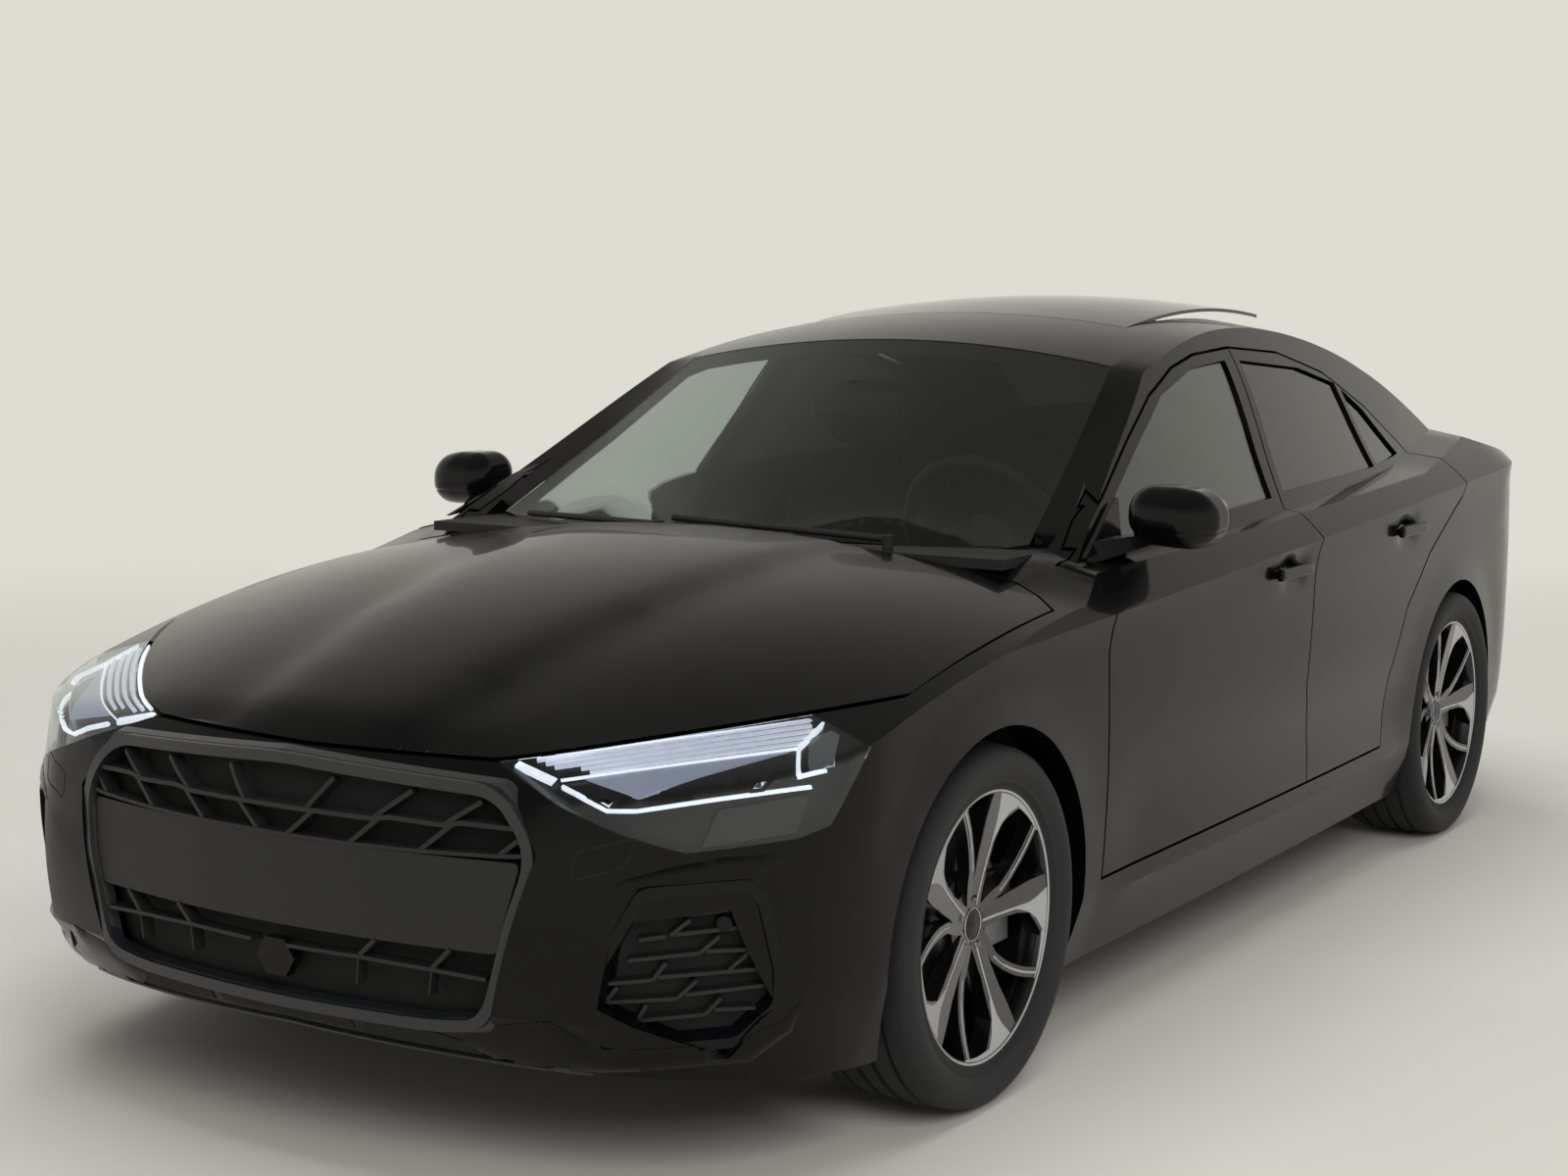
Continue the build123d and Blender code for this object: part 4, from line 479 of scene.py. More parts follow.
def repeat_tree():
    """Geometry Nodes tree that sets a shape on every point, turned by the point's own attribute."""
    tree = bpy.data.node_groups.new("repeat_on_points", "GeometryNodeTree")
    face = tree.interface
    face.new_socket("Points", in_out="INPUT", socket_type="NodeSocketGeometry")
    face.new_socket("Shape", in_out="INPUT", socket_type="NodeSocketObject")
    size = face.new_socket("Size", in_out="INPUT", socket_type="NodeSocketFloat")
    size.default_value = 1.0
    face.new_socket("Material", in_out="INPUT", socket_type="NodeSocketMaterial")
    face.new_socket("Geometry", in_out="OUTPUT", socket_type="NodeSocketGeometry")
    given = add(tree, "NodeGroupInput").outputs
    shape = add(tree, "GeometryNodeObjectInfo", {"Object": given["Shape"]})
    turn = add(tree, "GeometryNodeInputNamedAttribute", {"Name": "turn"}, data_type="FLOAT_VECTOR")
    placed = add(tree, "GeometryNodeInstanceOnPoints", {
        "Points": given["Points"], "Instance": shape.outputs["Geometry"],
        "Rotation": turn.outputs["Attribute"], "Scale": given["Size"]})
    real = add(tree, "GeometryNodeRealizeInstances", {"Geometry": placed.outputs["Instances"]})
    set_to = add(tree, "GeometryNodeSetMaterial", {"Geometry": real.outputs["Geometry"],
                                                   "Material": given["Material"]})
    add(tree, "NodeGroupOutput", {"Geometry": set_to.outputs["Geometry"]})
    return tree


def repeated(name, places, turns, shape, material, slot, body):
    """One plain mesh of a shape repeated at given places, each with its own turn."""
    tree = bpy.data.node_groups.get("repeat_on_points") or repeat_tree()
    points = bpy.data.meshes.new(name + "_points")
    points.from_pydata([tuple(p) for p in places], [], [])
    spin = points.attributes.new("turn", "FLOAT_VECTOR", "POINT")
    spin.data.foreach_set("vector", [c for turn in turns for c in turn])
    source = bpy.data.objects.new(name + "_shape", shape)
    carrier = bpy.data.objects.new(name + "_carrier", points)
    for each in (source, carrier):
        bpy.context.scene.collection.objects.link(each)
    modifier = carrier.modifiers.new("repeat", "NODES")
    modifier.node_group = tree
    ids = {item.name: item.identifier for item in tree.interface.items_tree if item.in_out == "INPUT"}
    modifier[ids["Shape"]] = source
    modifier[ids["Size"]] = 1.0
    modifier[ids["Material"]] = MATERIALS[material]
    graph = bpy.context.evaluated_depsgraph_get()
    mesh = bpy.data.meshes.new_from_object(carrier.evaluated_get(graph))
    mesh.name = name
    for each in (source, carrier):
        bpy.data.objects.remove(each)
    mesh.materials.clear()
    shade(mesh)
    link(name, mesh, material, body)


def camera_axes():
    """Directions to the camera's right, up and ahead, before its roll."""
    cp, sp = math.cos(CAMERA_PITCH), math.sin(CAMERA_PITCH)
    ahead = Vector((math.cos(CAMERA_YAW) * cp, math.sin(CAMERA_YAW) * cp, -sp))
    right = Vector((math.sin(CAMERA_YAW), -math.cos(CAMERA_YAW), 0))
    return right, right.cross(ahead), ahead


def camera_ray(u, v):
    """Direction through a point of the photograph."""
    right, up, ahead = camera_axes()
    c, s = math.cos(CAMERA_ROLL), math.sin(CAMERA_ROLL)
    across, rise = (u - PHOTO_SIZE[0] / 2) / FOCAL_PIXELS, (PHOTO_SIZE[1] / 2 - v) / FOCAL_PIXELS
    return (ahead + (c * right + s * up) * across + (c * up - s * right) * rise).normalized()


NOSE_TIP, NOSE_RADIUS = 2250, 2180
# Height, and how far the nose stands ahead of its tip there
NOSE_ROWS = ((165, -60), (240, -21), (300, -7), (450, -3), (610, -27), (670, -49), (760, -130))


def nose_x(y, z):
    """Nose surface that carries the grille, in millimetres."""
    offset = float(np.interp(z, *zip(*NOSE_ROWS)))
    return NOSE_TIP - NOSE_RADIUS + math.sqrt(max((NOSE_RADIUS + offset) ** 2 - y * y, 0.0))


class Carrier:
    """Surface that a piece is laid on: one or more CAD nodes, or a smooth fit through points."""

    def __init__(self, *nodes, through=None, lift=0.0, ahead=1):
        self.ahead = ahead
        self.lift = lift
        if through:
            self.middle = sum(through, Vector()) / len(through)
            rows = [self.terms(p - self.middle) for p in through]
            self.fit = np.linalg.lstsq(np.array(rows), np.array([p.x for p in through]), rcond=None)[0]
        self.tree = None
        if nodes:
            bm = bmesh.new()
            for node in nodes:
                bm.from_mesh(CAD[node].data)
            self.tree = BVHTree.FromBMesh(bm)
            bm.free()

    def terms(self, p):
        return [1.0, p.y, p.z, p.y * p.y, p.y * p.z, p.z * p.z]

    def height(self, at):
        return float(np.dot(self.terms(at - self.middle), self.fit))

    def hit(self, start, way):
        if self.tree:
            place, normal, _, _ = self.tree.ray_cast(start, way)
            return (place, normal) if place and normal.dot(way) < -0.05 and normal.x * self.ahead > -0.2 else None
        at = start + way * ((self.middle - start).dot(way))
        for _ in range(12):
            at = at + way * ((self.height(at) - at.x) / way.x * 0.8)
        step = 0.002
        slope_y = (self.height(at + Vector((0, step, 0))) - self.height(at)) / step
        slope_z = (self.height(at + Vector((0, 0, step))) - self.height(at)) / step
        normal = Vector((1.0, -slope_y, -slope_z)).normalized()
        return at + normal * self.lift * MM, normal

    def pixel(self, u, v, depth=0.0):
        """Point seen at a pixel, set back along the line of sight by a depth in millimetres."""
        way = camera_ray(u, v)
        found = self.hit(Vector(CAMERA_PLACE), way)
        return (found[0] + way * depth * MM, found[1]) if found else None


def dense(points, step):
    """Points along a line, at most a step apart."""
    out = []
    for a, b in zip(points, points[1:]):
        a, b = Vector(a), Vector(b)
        count = max(1, int((b - a).length / step))
        out += [a.lerp(b, i / count) for i in range(count)]
    return out + [Vector(points[-1])]


def ribbon(bm, places, width, thickness, closed=False):
    """Closed bar of a rectangular section along places, each with its surface normal."""
    count = len(places)
    rings = []
    for i, (at, normal) in enumerate(places):
        before = places[(i - 1) % count][0] if closed or i else at
        after = places[(i + 1) % count][0] if closed or i < count - 1 else at
        along = (after - before).normalized()
        side = normal.cross(along).normalized() * width * 0.5 * MM
        up = along.cross(side).normalized() * thickness * MM
        if up.dot(normal) < 0:
            up = -up
        rings.append([bm.verts.new(at + way) for way in (side, side * 0.7 + up, up - side * 0.7, -side)])
    for one, two in zip(rings, rings[1:] + rings[:1] if closed else rings[1:]):
        bridge(bm, one, two)
    if not closed:
        bm.faces.new(rings[0])
        bm.faces.new(rings[-1][::-1])


def pixel_strip(bm, carrier, pixels, width, thickness, depth=0.0, step=5.0, closed=False):
    """Bar along a line of pixels on what carries it."""
    line = dense(list(pixels) + ([pixels[0]] if closed else []), step)
    places = [carrier.pixel(p[0], p[1], depth) for p in line]
    places = [p for p in places if p]
    if closed and len(places) > 2:
        places = places[:-1]
    if len(places) > 1:
        ribbon(bm, places, width, thickness, closed)


def grid(rim, start, step):
    """Points on a grid within the bounds of an outline."""
    (u0, u1), (v0, v1) = ((min(p[k] for p in rim), max(p[k] for p in rim)) for k in (0, 1))
    return [Vector((u, v)) for u in np.arange(u0 + start, u1, step) for v in np.arange(v0 + start, v1, step)]


def plate(bm, rim, inner, place):
    """Closed plate over an outline: place gives each point's back, its normal and its height in millimetres."""
    count = len(rim)
    flat = delaunay_2d_cdt(rim + inner, [(i, (i + 1) % count) for i in range(count)], [list(range(count))], 1, 0.01)
    found = [place(p) for p in flat[0]]
    front = [f and bm.verts.new(f[0] + f[1] * f[2] * MM) for f in found]
    back = [f and bm.verts.new(f[0]) for f in found]
    sides = {}
    for face in flat[2]:
        if all(found[i] for i in face):
            a, b, c = (front[i].co for i in face[:3])
            order = list(face) if (b - a).cross(c - a).dot(found[face[0]][1]) >= 0 else list(face)[::-1]
            bm.faces.new([front[i] for i in order])
            bm.faces.new([back[i] for i in reversed(order)])
            sides.update(dict.fromkeys(zip(order, order[1:] + order[:1])))
    for i, j in sides:
        if (j, i) not in sides:
            bm.faces.new((front[j], front[i], back[i], back[j]))


CROWN_REACH = 9


def pixel_patch(bm, carrier, pixels, thickness, depth=0.0, step=8.0, crown=0.0):
    """Closed plate over an outline of pixels on what carries it, higher in the middle by its crown."""
    rim = [Vector(p[:2]) for p in dense(list(pixels) + [pixels[0]], step)[:-1]]

    def place(p):
        found = carrier.pixel(p[0], p[1], depth)
        rise = crown * (1 - math.exp(-min((p - r).length for r in rim) / CROWN_REACH))
        return found and (*found, thickness + rise)

    plate(bm, rim, grid(rim, step, step), place)


def both_sides(name, bm, material, body="body", replaced=None):
    """Left piece from a bmesh and its mirror image. A body's or node's name that ends in _ gets the side's name."""
    left = bm_to_mesh(bm, name + "_left")
    for (side, _), mesh in zip(LEFT_RIGHT, (left, mirrored(left, name + "_right"))):
        shade(mesh)
        rides, stands_for = (each + side if each and each.endswith("_") else each for each in (body, replaced))
        link(name + "_" + side, mesh, material, rides, stands_for)


# Pressed forms of the painted panels, in millimetres

# Wheel arches (x, z, radius), door handles (x, z), bonnet crease from front to back (x, y)
ARCHES = ((1370.0, 323.5, 362.0), (-1260.0, 323.5, 356.0))
HANDLES = ((-14.0, 823.0), (-812.0, 849.0))
BONNET_CREASE = ((2110.0, 166.0), (1040.0, 314.0))
BONNET_REACH = 70.0
# Shoulder crease: a point on it, its fall towards the front, and the height that the doors fall in over
CREASE_X, CREASE_Z, CREASE_SLOPE, CREASE_REACH = -69.0, 876.0, 0.0427, 62.0
# Height, width and rise of the ridge on the sill and of the hollow along the foot of the doors
SIDE_WAVES = ((286.0, 13.0, 6.0), (415.0, 85.0, -9.0))
# Lip round an arch: how far it stands out, its width, how far it reaches and where it starts above the ground
ARCH_LIP, ARCH_LIP_WIDTH, ARCH_REACH, ARCH_LOWEST = 5.0, 42.0, 150.0, 150.0
# Bowl behind a door handle, pressed only into what lies nearer the car's middle than its side
BOWL_DEPTH, BOWL_LENGTH, BOWL_HEIGHT, BOWL_SIDE = 11.0, 66.0, 27.0, 908.0
# Where the mesh is cut so that the forms have edges to bend at
BONNET_CUTS = (0.0, 35.0, 75.0, 130.0)
CREASE_CUTS = (0.0, 30.0, 65.0)
SIDE_CUTS = (262.0, 275.0, 286.0, 297.0, 312.0, 350.0, 415.0, 480.0, 560.0)
# Reach of the finer mesh round arches and handles, and its longest edges
NEAR_FORM, ARCH_EDGE, HANDLE_EDGE = 110.0, 34.0, 16.0


def ease(low, high, value):
    """0 below the low value, 1 above the high one, smooth between."""
    t = max(0.0, min(1.0, (value - low) / (high - low)))
    return t * t * (3 - 2 * t)


def crease_z(x):
    """Height of the shoulder crease."""
    return CREASE_Z - CREASE_SLOPE * (x - CREASE_X)


def bump(distance, width, power=2):
    """1 at no distance, falling to 0 past the width."""
    return math.exp(-(distance / width) ** power)


def side_form(x, y, z):
    """How far the body side stands out of the plain CAD surface."""
    below = (crease_z(x) - z) / CREASE_REACH
    out = -settings().crease_depth / MM * below * math.exp(1 - below) if below > 0 else 0.0
    between_arches = ease(-930.0, -700.0, x) * (1 - ease(760.0, 940.0, x))
    out += sum(rise * bump(z - height, width) for height, width, rise in SIDE_WAVES) * between_arches
    for ax, az, radius in ARCHES:
        away = math.hypot(x - ax, z - az) - radius
        if away < ARCH_REACH and z > ARCH_LOWEST:
            near = bump(max(away, 0.0), ARCH_LIP_WIDTH)
            out = out * (1 - near) + ARCH_LIP * near
    if abs(y) < BOWL_SIDE:
        for hx, hz in HANDLES:
            out -= BOWL_DEPTH * bump(x - hx, BOWL_LENGTH, 4) * bump(z - hz, BOWL_HEIGHT, 4)
    return out * ease(815.0, 868.0, abs(y))


def bonnet_form(x, y):
    """Drop of the bonnet outside its two creases, fading out at its front and rear edges."""
    (x0, y0), (x1, y1) = BONNET_CREASE
    outside = (abs(y) - y0 - (y1 - y0) * (x0 - x) / (x0 - x1)) / BONNET_REACH
    if outside < 0:
        return 0.0
    drop = settings().bonnet_crease / MM * outside * math.exp(1 - outside)
    return -drop * ease(2170.0, 2080.0, x) * ease(960.0, 1040.0, x)


def refine(bm, spots, longest):
    """Shorter edges on the body side within reach of some spots (x, z, reach)."""
    for _ in range(3):
        edges = []
        for edge in bm.edges:
            middle = (edge.verts[0].co + edge.verts[1].co) / 2 / MM
            near = any(math.hypot(middle.x - x, middle.z - z) < reach for x, z, reach in spots)
            if near and abs(middle.y) > 840 and edge.calc_length() > longest * MM:
                edges.append(edge)
        halve(bm, edges)


def cut(bm, point, normal):
    """Splits the mesh along a plane without opening it."""
    bmesh.ops.bisect_plane(bm, geom=bm.verts[:] + bm.edges[:] + bm.faces[:], dist=0.0004,
                           plane_co=Vector(point) * MM, plane_no=normal)
    triangles(bm)


def press(bm, node):
    """Moves a panel's outer surface to its pressed form."""
    if node == "bonnet":
        (x0, y0), (x1, y1) = BONNET_CREASE
        for sign in (1, -1):
            normal = Vector((sign * (y1 - y0), x0 - x1, 0)).normalized()
            for step in BONNET_CUTS:
                cut(bm, (x0, sign * (y0 + step), 0), normal)
        for v in bm.verts:
            x, y, z = v.co / MM
            v.co.z += bonnet_form(x, y) * MM * ease(0.0, 0.6, v.normal.z)
    elif node.startswith(("body_side", "door_front", "door_rear", "front_wings", "front_bumper", "rear_bumper")):
        normal = Vector((CREASE_SLOPE, 0, 1.0)).normalized()
        for drop in CREASE_CUTS:
            cut(bm, (CREASE_X, 0, CREASE_Z - drop), normal)
        for z in SIDE_CUTS:
            cut(bm, (0, 0, z), Vector((0, 0, 1)))
        refine(bm, [(x, z, r + NEAR_FORM) for x, z, r in ARCHES], ARCH_EDGE)
        refine(bm, [(x, z, NEAR_FORM) for x, z in HANDLES], HANDLE_EDGE)
        for v in bm.verts:
            x, y, z = v.co / MM
            v.co.y += side_form(x, y, z) * MM * (1 if y > 0 else -1)


def smooth_copy(node, end, longest, angle, rounds, form=None):
    """Evenly shaded copy of a CAD node's mesh, pressed to a form if one is given."""
    bm = node_copy(node)
    split_long_edges(bm, longest)
    if form:
        form(bm, node)
    mesh = bm_to_mesh(bm, node + end)
    smooth_normals(mesh, math.radians(angle), rounds)
    return mesh


def make_panels():
    for node in FIXED_PANELS + MOVING_PANELS:
        mesh = smooth_copy(node, "_skin", 0.06, 14 if node == "bonnet" else 22, 8, press)
        link(node + "_skin", mesh, "gloss_enamel", "body" if node in FIXED_PANELS else node, node)


# Wheels and tyres, drawn round the wheel's centre with the outer side at +Y, in millimetres

BLADE_ANGLES = (36, 108, 180, 252, 324)
RIM_FACE = 97.0
CAP_FACE = 66.0
BLADE_ROOT = 49.0


def face_offset(radius):
    """Outer face of the blades: dished from the rim to the hub."""
    return CAP_FACE + (RIM_FACE - 2 - CAP_FACE) * min(radius / 238.0, 1.0) ** 1.7


def polar(radius, angle, offset):
    turn = math.radians(angle)
    return Vector((radius * math.cos(turn), offset, radius * math.sin(turn))) * MM


def wheel_plate(bm, outline, blade, depth, lift=0.0, chamfer=0.0):
    """Closed plate that follows the dished face. The outline is (radius, degrees from the blade)."""
    points = [polar(r, a + blade, 0.0) for r, a in outline]
    flat = [(p.x / MM, p.z / MM) for p in points]

    def low(p):
        r = math.hypot(*p)
        return Vector((p[0], max(face_offset(r) - depth, BLADE_ROOT), p[1])) * MM

    def high(p, drop):
        r = math.hypot(*p)
        return Vector((p[0], face_offset(r) + lift - drop * chamfer, p[1])) * MM

    prism(bm, flat, low, high, chamfer)


def finer(rows, counts):
    """Each side of an outline split into its count of steps."""
    return [(r0 + (r1 - r0) * i / count, a0 + (a1 - a0) * i / count)
            for (r0, a0), (r1, a1), count in zip(rows, rows[1:] + rows[:1], counts) for i in range(count)]


def along(rows, step=14.0):
    """Finer outline: each side split so that it follows the dish."""
    sides = zip(rows, rows[1:] + rows[:1])
    reach = [max(abs(r1 - r0), math.radians(abs(a1 - a0)) * max(r0, r1)) for (r0, a0), (r1, a1) in sides]
    return finer(rows, [max(1, int(each / step)) for each in reach])


def offset_line(rows, half):
    """Outline of a narrow band along a polar line."""
    fine = finer(rows, [max(1, int(abs(r1 - r0) / 14)) for (r0, _), (r1, _) in zip(rows, rows[1:])]) + [rows[-1]]
    one, two = ([(r, a + sign * math.degrees(half / r)) for r, a in fine] for sign in (1, -1))
    return one + two[::-1]


BLADE_BODY = [(30, 30), (60, 12), (100, 5), (150, 4), (186, 5), (238, 18), (238, -12), (190, -14),
              (150, -15), (100, -18), (60, -28), (30, -42)]
BLADE_WEDGE = [(146, 0.6), (184, 4.5), (206, 8), (237, 16), (237, -6), (206, -3), (184, -1.5), (146, -1.4)]
BLADE_EDGE = [(36, 0), (90, -0.6), (148, -0.4)]
ARM = [(236, 33), (190, 38), (140, 43), (100, 46), (60, 40), (36, 34)]


def each_wheel():
    """Axle, side, sign of Y and centre of the four wheels."""
    for axle, x, y in AXLES:
        for side, sign in LEFT_RIGHT:
            yield axle, side, sign, Vector((x, sign * y, WHEEL_Z))


def four_wheels(name, mesh, material, replaced=None):
    """Places one mesh at the four wheels."""
    for axle, side, sign, centre in each_wheel():
        label = axle + "_" + name + "_" + side
        one = mirrored(mesh, label) if sign < 0 else mesh.copy()
        one.name = label
        one.transform(Matrix.Translation(centre))
        shade(one, 28.0)
        link(label, one, material, axle + "_wheel_" + side, replaced and axle + "_" + replaced + "_" + side)
    bpy.data.meshes.remove(mesh)


def wheel_black():
    """Barrel, blades, thin arms and hub in black lacquer."""
    barrel = [(-104, 233), (-104, 250), (-97, 250), (-94, 242), (-60, 241.5), (60, 241.5), (90, 242),
              (93, 248.5), (RIM_FACE - 1, 249), (RIM_FACE - 1, 236), (80, 230), (40, 226), (-70, 226)]
    bm = lathe(barrel, 144)
    for blade in BLADE_ANGLES:
        wheel_plate(bm, along(BLADE_BODY), blade, 34.0, 0.0, 1.5)
        wheel_plate(bm, offset_line(ARM, 10.0), blade, 26.0, 0.0, 1.5)
    return join([bm, lathe([(48, 8), (48, 66), (60, 64), (64, 50), (64, 8)], 60)], "wheel_black")


def wheel_bright():
    """Turned lip and the turned faces of the blades and arms."""
    lip = [(90, 238), (RIM_FACE - 2, 237), (RIM_FACE, 238.5), (RIM_FACE + 1.5, 244), (RIM_FACE, 249.5), (91, 249.6)]
    bm = lathe(lip, 144)
    for blade in BLADE_ANGLES:
        wheel_plate(bm, along(BLADE_WEDGE, 10.0), blade, 2.0, 1.0, 0.4)
        wheel_plate(bm, offset_line(BLADE_EDGE, 2.4), blade, 2.0, 1.2, 0.3)
        wheel_plate(bm, offset_line(ARM[:4], 2.2), blade, 2.0, 1.2, 0.3)
        wheel_plate(bm, along([(226, 14), (237, 14), (237, 36), (233, 36)], 10.0), blade, 2.0, 1.0, 0.3)
    ring = [(60, 27.5), (CAP_FACE + 2, 27.8), (CAP_FACE + 3, 29), (CAP_FACE + 2, 30.4), (60, 30.8)]
    return join([bm, lathe(ring, 60)], "wheel_bright")


def wheel_cap():
    """Plain cap in the hub."""
    cap = [(58, 2), (58, 28), (CAP_FACE + 1, 28), (CAP_FACE + 2.4, 20), (CAP_FACE + 3, 2)]
    return bm_to_mesh(lathe(cap, 60), "wheel_cap")


def wheel_brake():
    """Brake disc with its hat, vent slots and stub axle, turned with the wheel."""
    disc = [(6, 92), (6, 156), (14, 156), (14, 150), (23, 150), (23, 156), (31, 156), (31, 92), (46, 86), (47, 60),
            (47, 8), (6, 8)]
    return join([lathe(disc, 120), lathe([(-45, 2), (-45, 14), (8, 14), (8, 2)], 40)], "wheel_brake")


def bolt_head(radius, height):
    """Six-sided bolt head along +Z, in millimetres."""
    bm = bmesh.new()
    bmesh.ops.create_cone(bm, cap_ends=True, segments=6, radius1=radius * MM, radius2=radius * 0.92 * MM,
                          depth=height * MM)
    return bm_to_mesh(bm, "bolt")


def tyre_carcass():
    """Tyre ring with rounded sidewalls, rim guard and grooves round the tread."""
    half = [(98.5, 242), (99, 249), (103, 252), (107, 256), (106, 262), (112, 272), (116.5, 285), (116, 297),
            (112, 307), (104, 315), (94, 319)]
    tread = [(66, 322), (64, 322), (62, 315), (56, 315), (54, 322.6), (24, 323.4), (22, 315.5), (14, 315.5),
             (12, 323.4)]
    profile = half + tread + [(-o, r) for o, r in tread[::-1]] + [(-o, r) for o, r in half[::-1]]
    return bm_to_mesh(lathe(profile, 180), "tyre_carcass")


def tread_block():
    """One slanted shoulder block, its outer side at +Y and its top at +Z."""
    bm = bmesh.new()
    rows = ((-14.5, 2.6), (0, 1.6), (12, -2.0), (20, -8.0))
    bottoms = ((-14.5, -6), (0, -6), (12, -8), (17, -13))
    for lean, sign in ((3.0, -1), (3.0, 1)):
        for (y, z) in rows + bottoms:
            bm.verts.new(((sign * 5.6 + lean * y / 14) * MM, y * MM, z * MM))
    bm.verts.ensure_lookup_table()
    v = bm.verts
    for k in range(3):
        bm.faces.new((v[k], v[k + 1], v[9 + k], v[8 + k]))
        bm.faces.new((v[4 + k], v[12 + k], v[13 + k], v[5 + k]))
        bm.faces.new((v[k], v[4 + k], v[5 + k], v[k + 1]))
        bm.faces.new((v[8 + k], v[9 + k], v[13 + k], v[12 + k]))
    bm.faces.new((v[0], v[8], v[12], v[4]))
    bm.faces.new((v[3], v[7], v[15], v[11]))
    bmesh.ops.recalc_face_normals(bm, faces=bm.faces)
    return bm_to_mesh(bm, "tread_block")


BOLT_CIRCLE, BOLT_TURN, BOLT_OFFSET = 45.0, 62, 64.0
TREAD_RADIUS, TREAD_OFFSET = 318.6, 82.5


def tread_places(centre):
    """Places and turns of the blocks round both shoulders of a tyre, half a block apart."""
    count = settings().tread_blocks
    spots, turns = [], []
    for i in range(count):
        for shift, outward in ((0.5, 1), (0.0, -1)):
            angle = 2 * math.pi * (i + shift) / count
            spots.append(centre + Vector((TREAD_RADIUS * math.cos(angle), outward * TREAD_OFFSET,
                                          TREAD_RADIUS * math.sin(angle))) * MM)
            spin = Matrix.Rotation(math.pi / 2 - angle, 3, "Y")
            if outward < 0:
                spin = spin @ Matrix.Rotation(math.pi, 3, "Z")
            turns.append(tuple(spin.to_euler("XYZ")))
    return spots, turns


def make_wheels():
    four_wheels("wheel_lacquered", wheel_black(), "wheel_lacquer", "wheel")
    four_wheels("wheel_turned", wheel_bright(), "turned_alloy")
    four_wheels("wheel_cap", wheel_cap(), "piano_black_trim")
    four_wheels("brake_disc", wheel_brake(), "turned_iron")
    four_wheels("tyre_carcass", tyre_carcass(), "tyre_rubber", "tyre")
    head, shoulder = bolt_head(8.0, 12.0), tread_block()
    bolts = [polar(BOLT_CIRCLE, blade + BOLT_TURN, BOLT_OFFSET) for blade in BLADE_ANGLES]
    bolt_turns = [(math.pi / 2, 0.0, math.radians(blade)) for blade in BLADE_ANGLES]
    for axle, side, sign, centre in each_wheel():
        body = axle + "_wheel_" + side
        repeated(axle + "_wheel_bolts_" + side, [centre + Vector((at.x, sign * at.y, at.z)) for at in bolts],
                 bolt_turns, head, "turned_iron", "wheel_alloy", body)
        repeated(axle + "_tread_" + side, *tread_places(centre), shoulder, "tyre_rubber", "tyre", body)


# Nose: grille, splitter, intakes and headlamps. Grille lines are (y, z) in millimetres on the nose.

GRILLE_OUTLINE = [(0, 668), (432, 650), (502, 562), (424, 282), (330, 270), (0, 268)]
GRILLE_BARS = [
    # line on the left half, bar height, depth
    ([(0, 590), (205, 590), (238, 595), (338, 592), (370, 598), (474, 596)], 11, 26),
    ([(0, 546), (160, 546), (300, 548), (440, 552), (488, 556)], 9, 26),
    ([(40, 364), (185, 366), (325, 362), (425, 356)], 9, 26),
]
GRILLE_RIBS = [
    [(68, 590), (112, 640)], [(205, 590), (268, 636)], [(338, 592), (396, 630)],
    [(32, 546), (84, 590)], [(162, 546), (218, 592)], [(298, 548), (354, 594)], [(438, 552), (484, 590)],
    [(186, 364), (222, 398)], [(326, 362), (362, 398)],
    [(184, 320), (188, 366)], [(322, 318), (328, 362)],
]
BAND = [(-476, 543), (476, 543), (446, 398), (-446, 398)]
SPLITTER_OPENINGS = [
    [(-148, 268), (148, 268), (148, 234), (-148, 234)],
    [(172, 266), (320, 250), (492, 210), (172, 230)],
]
SPLITTER_LIP = [(-560, 203), (-300, 212), (0, 222), (300, 212), (560, 203)]


def nose_place(y, z, out=0.0):
    """Point on the nose surface, or out from it, and its normal."""
    normal = Vector((math.sqrt(1 - (y / NOSE_RADIUS) ** 2), y / NOSE_RADIUS, 0.0))
    return Vector((nose_x(y, z), y, z)) * MM + normal * out * MM, normal


def rounded(points, radius, steps=5):
    """Outline with its corners rounded."""
    out = []
    count = len(points)
    for i in range(count):
        a, b, c = (Vector(points[(i + k) % count]) for k in (-1, 0, 1))
        start = b + (a - b).normalized() * min(radius, (a - b).length * 0.45)
        end = b + (c - b).normalized() * min(radius, (c - b).length * 0.45)
        for k in range(steps + 1):
            t = k / steps
            out.append(tuple(start * (1 - t) ** 2 + b * 2 * t * (1 - t) + end * t ** 2))
    return out


def whole_outline(half):
    """Outline of both halves from the points of the left one, top centre first."""
    return half + [(-y, z) for y, z in half[::-1] if y > 0]


def nose_bar(bm, line, width, depth, out, closed=False):
    """Bar along a line of (y, z) on the nose, its face out from the surface."""
    fine = dense(list(line) + ([line[0]] if closed else []), 18.0)
    ribbon(bm, [nose_place(p[0], p[1], out - depth) for p in (fine[:-1] if closed else fine)], width, depth, closed)


def end_hit(carrier, p):
    """Point of the car's front or rear at (y, z) in millimetres."""
    return carrier.hit(Vector((3.0 * carrier.ahead, p[0] * MM, p[1] * MM)), Vector((-carrier.ahead, 0, 0)))


def end_bar(bm, carrier, line, step, sunk, width, thickness):
    """Bar along a line of (y, z) on the front or rear, sunk into it by some millimetres."""
    found = [hit for hit in (end_hit(carrier, p) for p in dense(line, step)) if hit]
    ribbon(bm, [(place - normal * sunk * MM, normal) for place, normal in found], width, thickness)


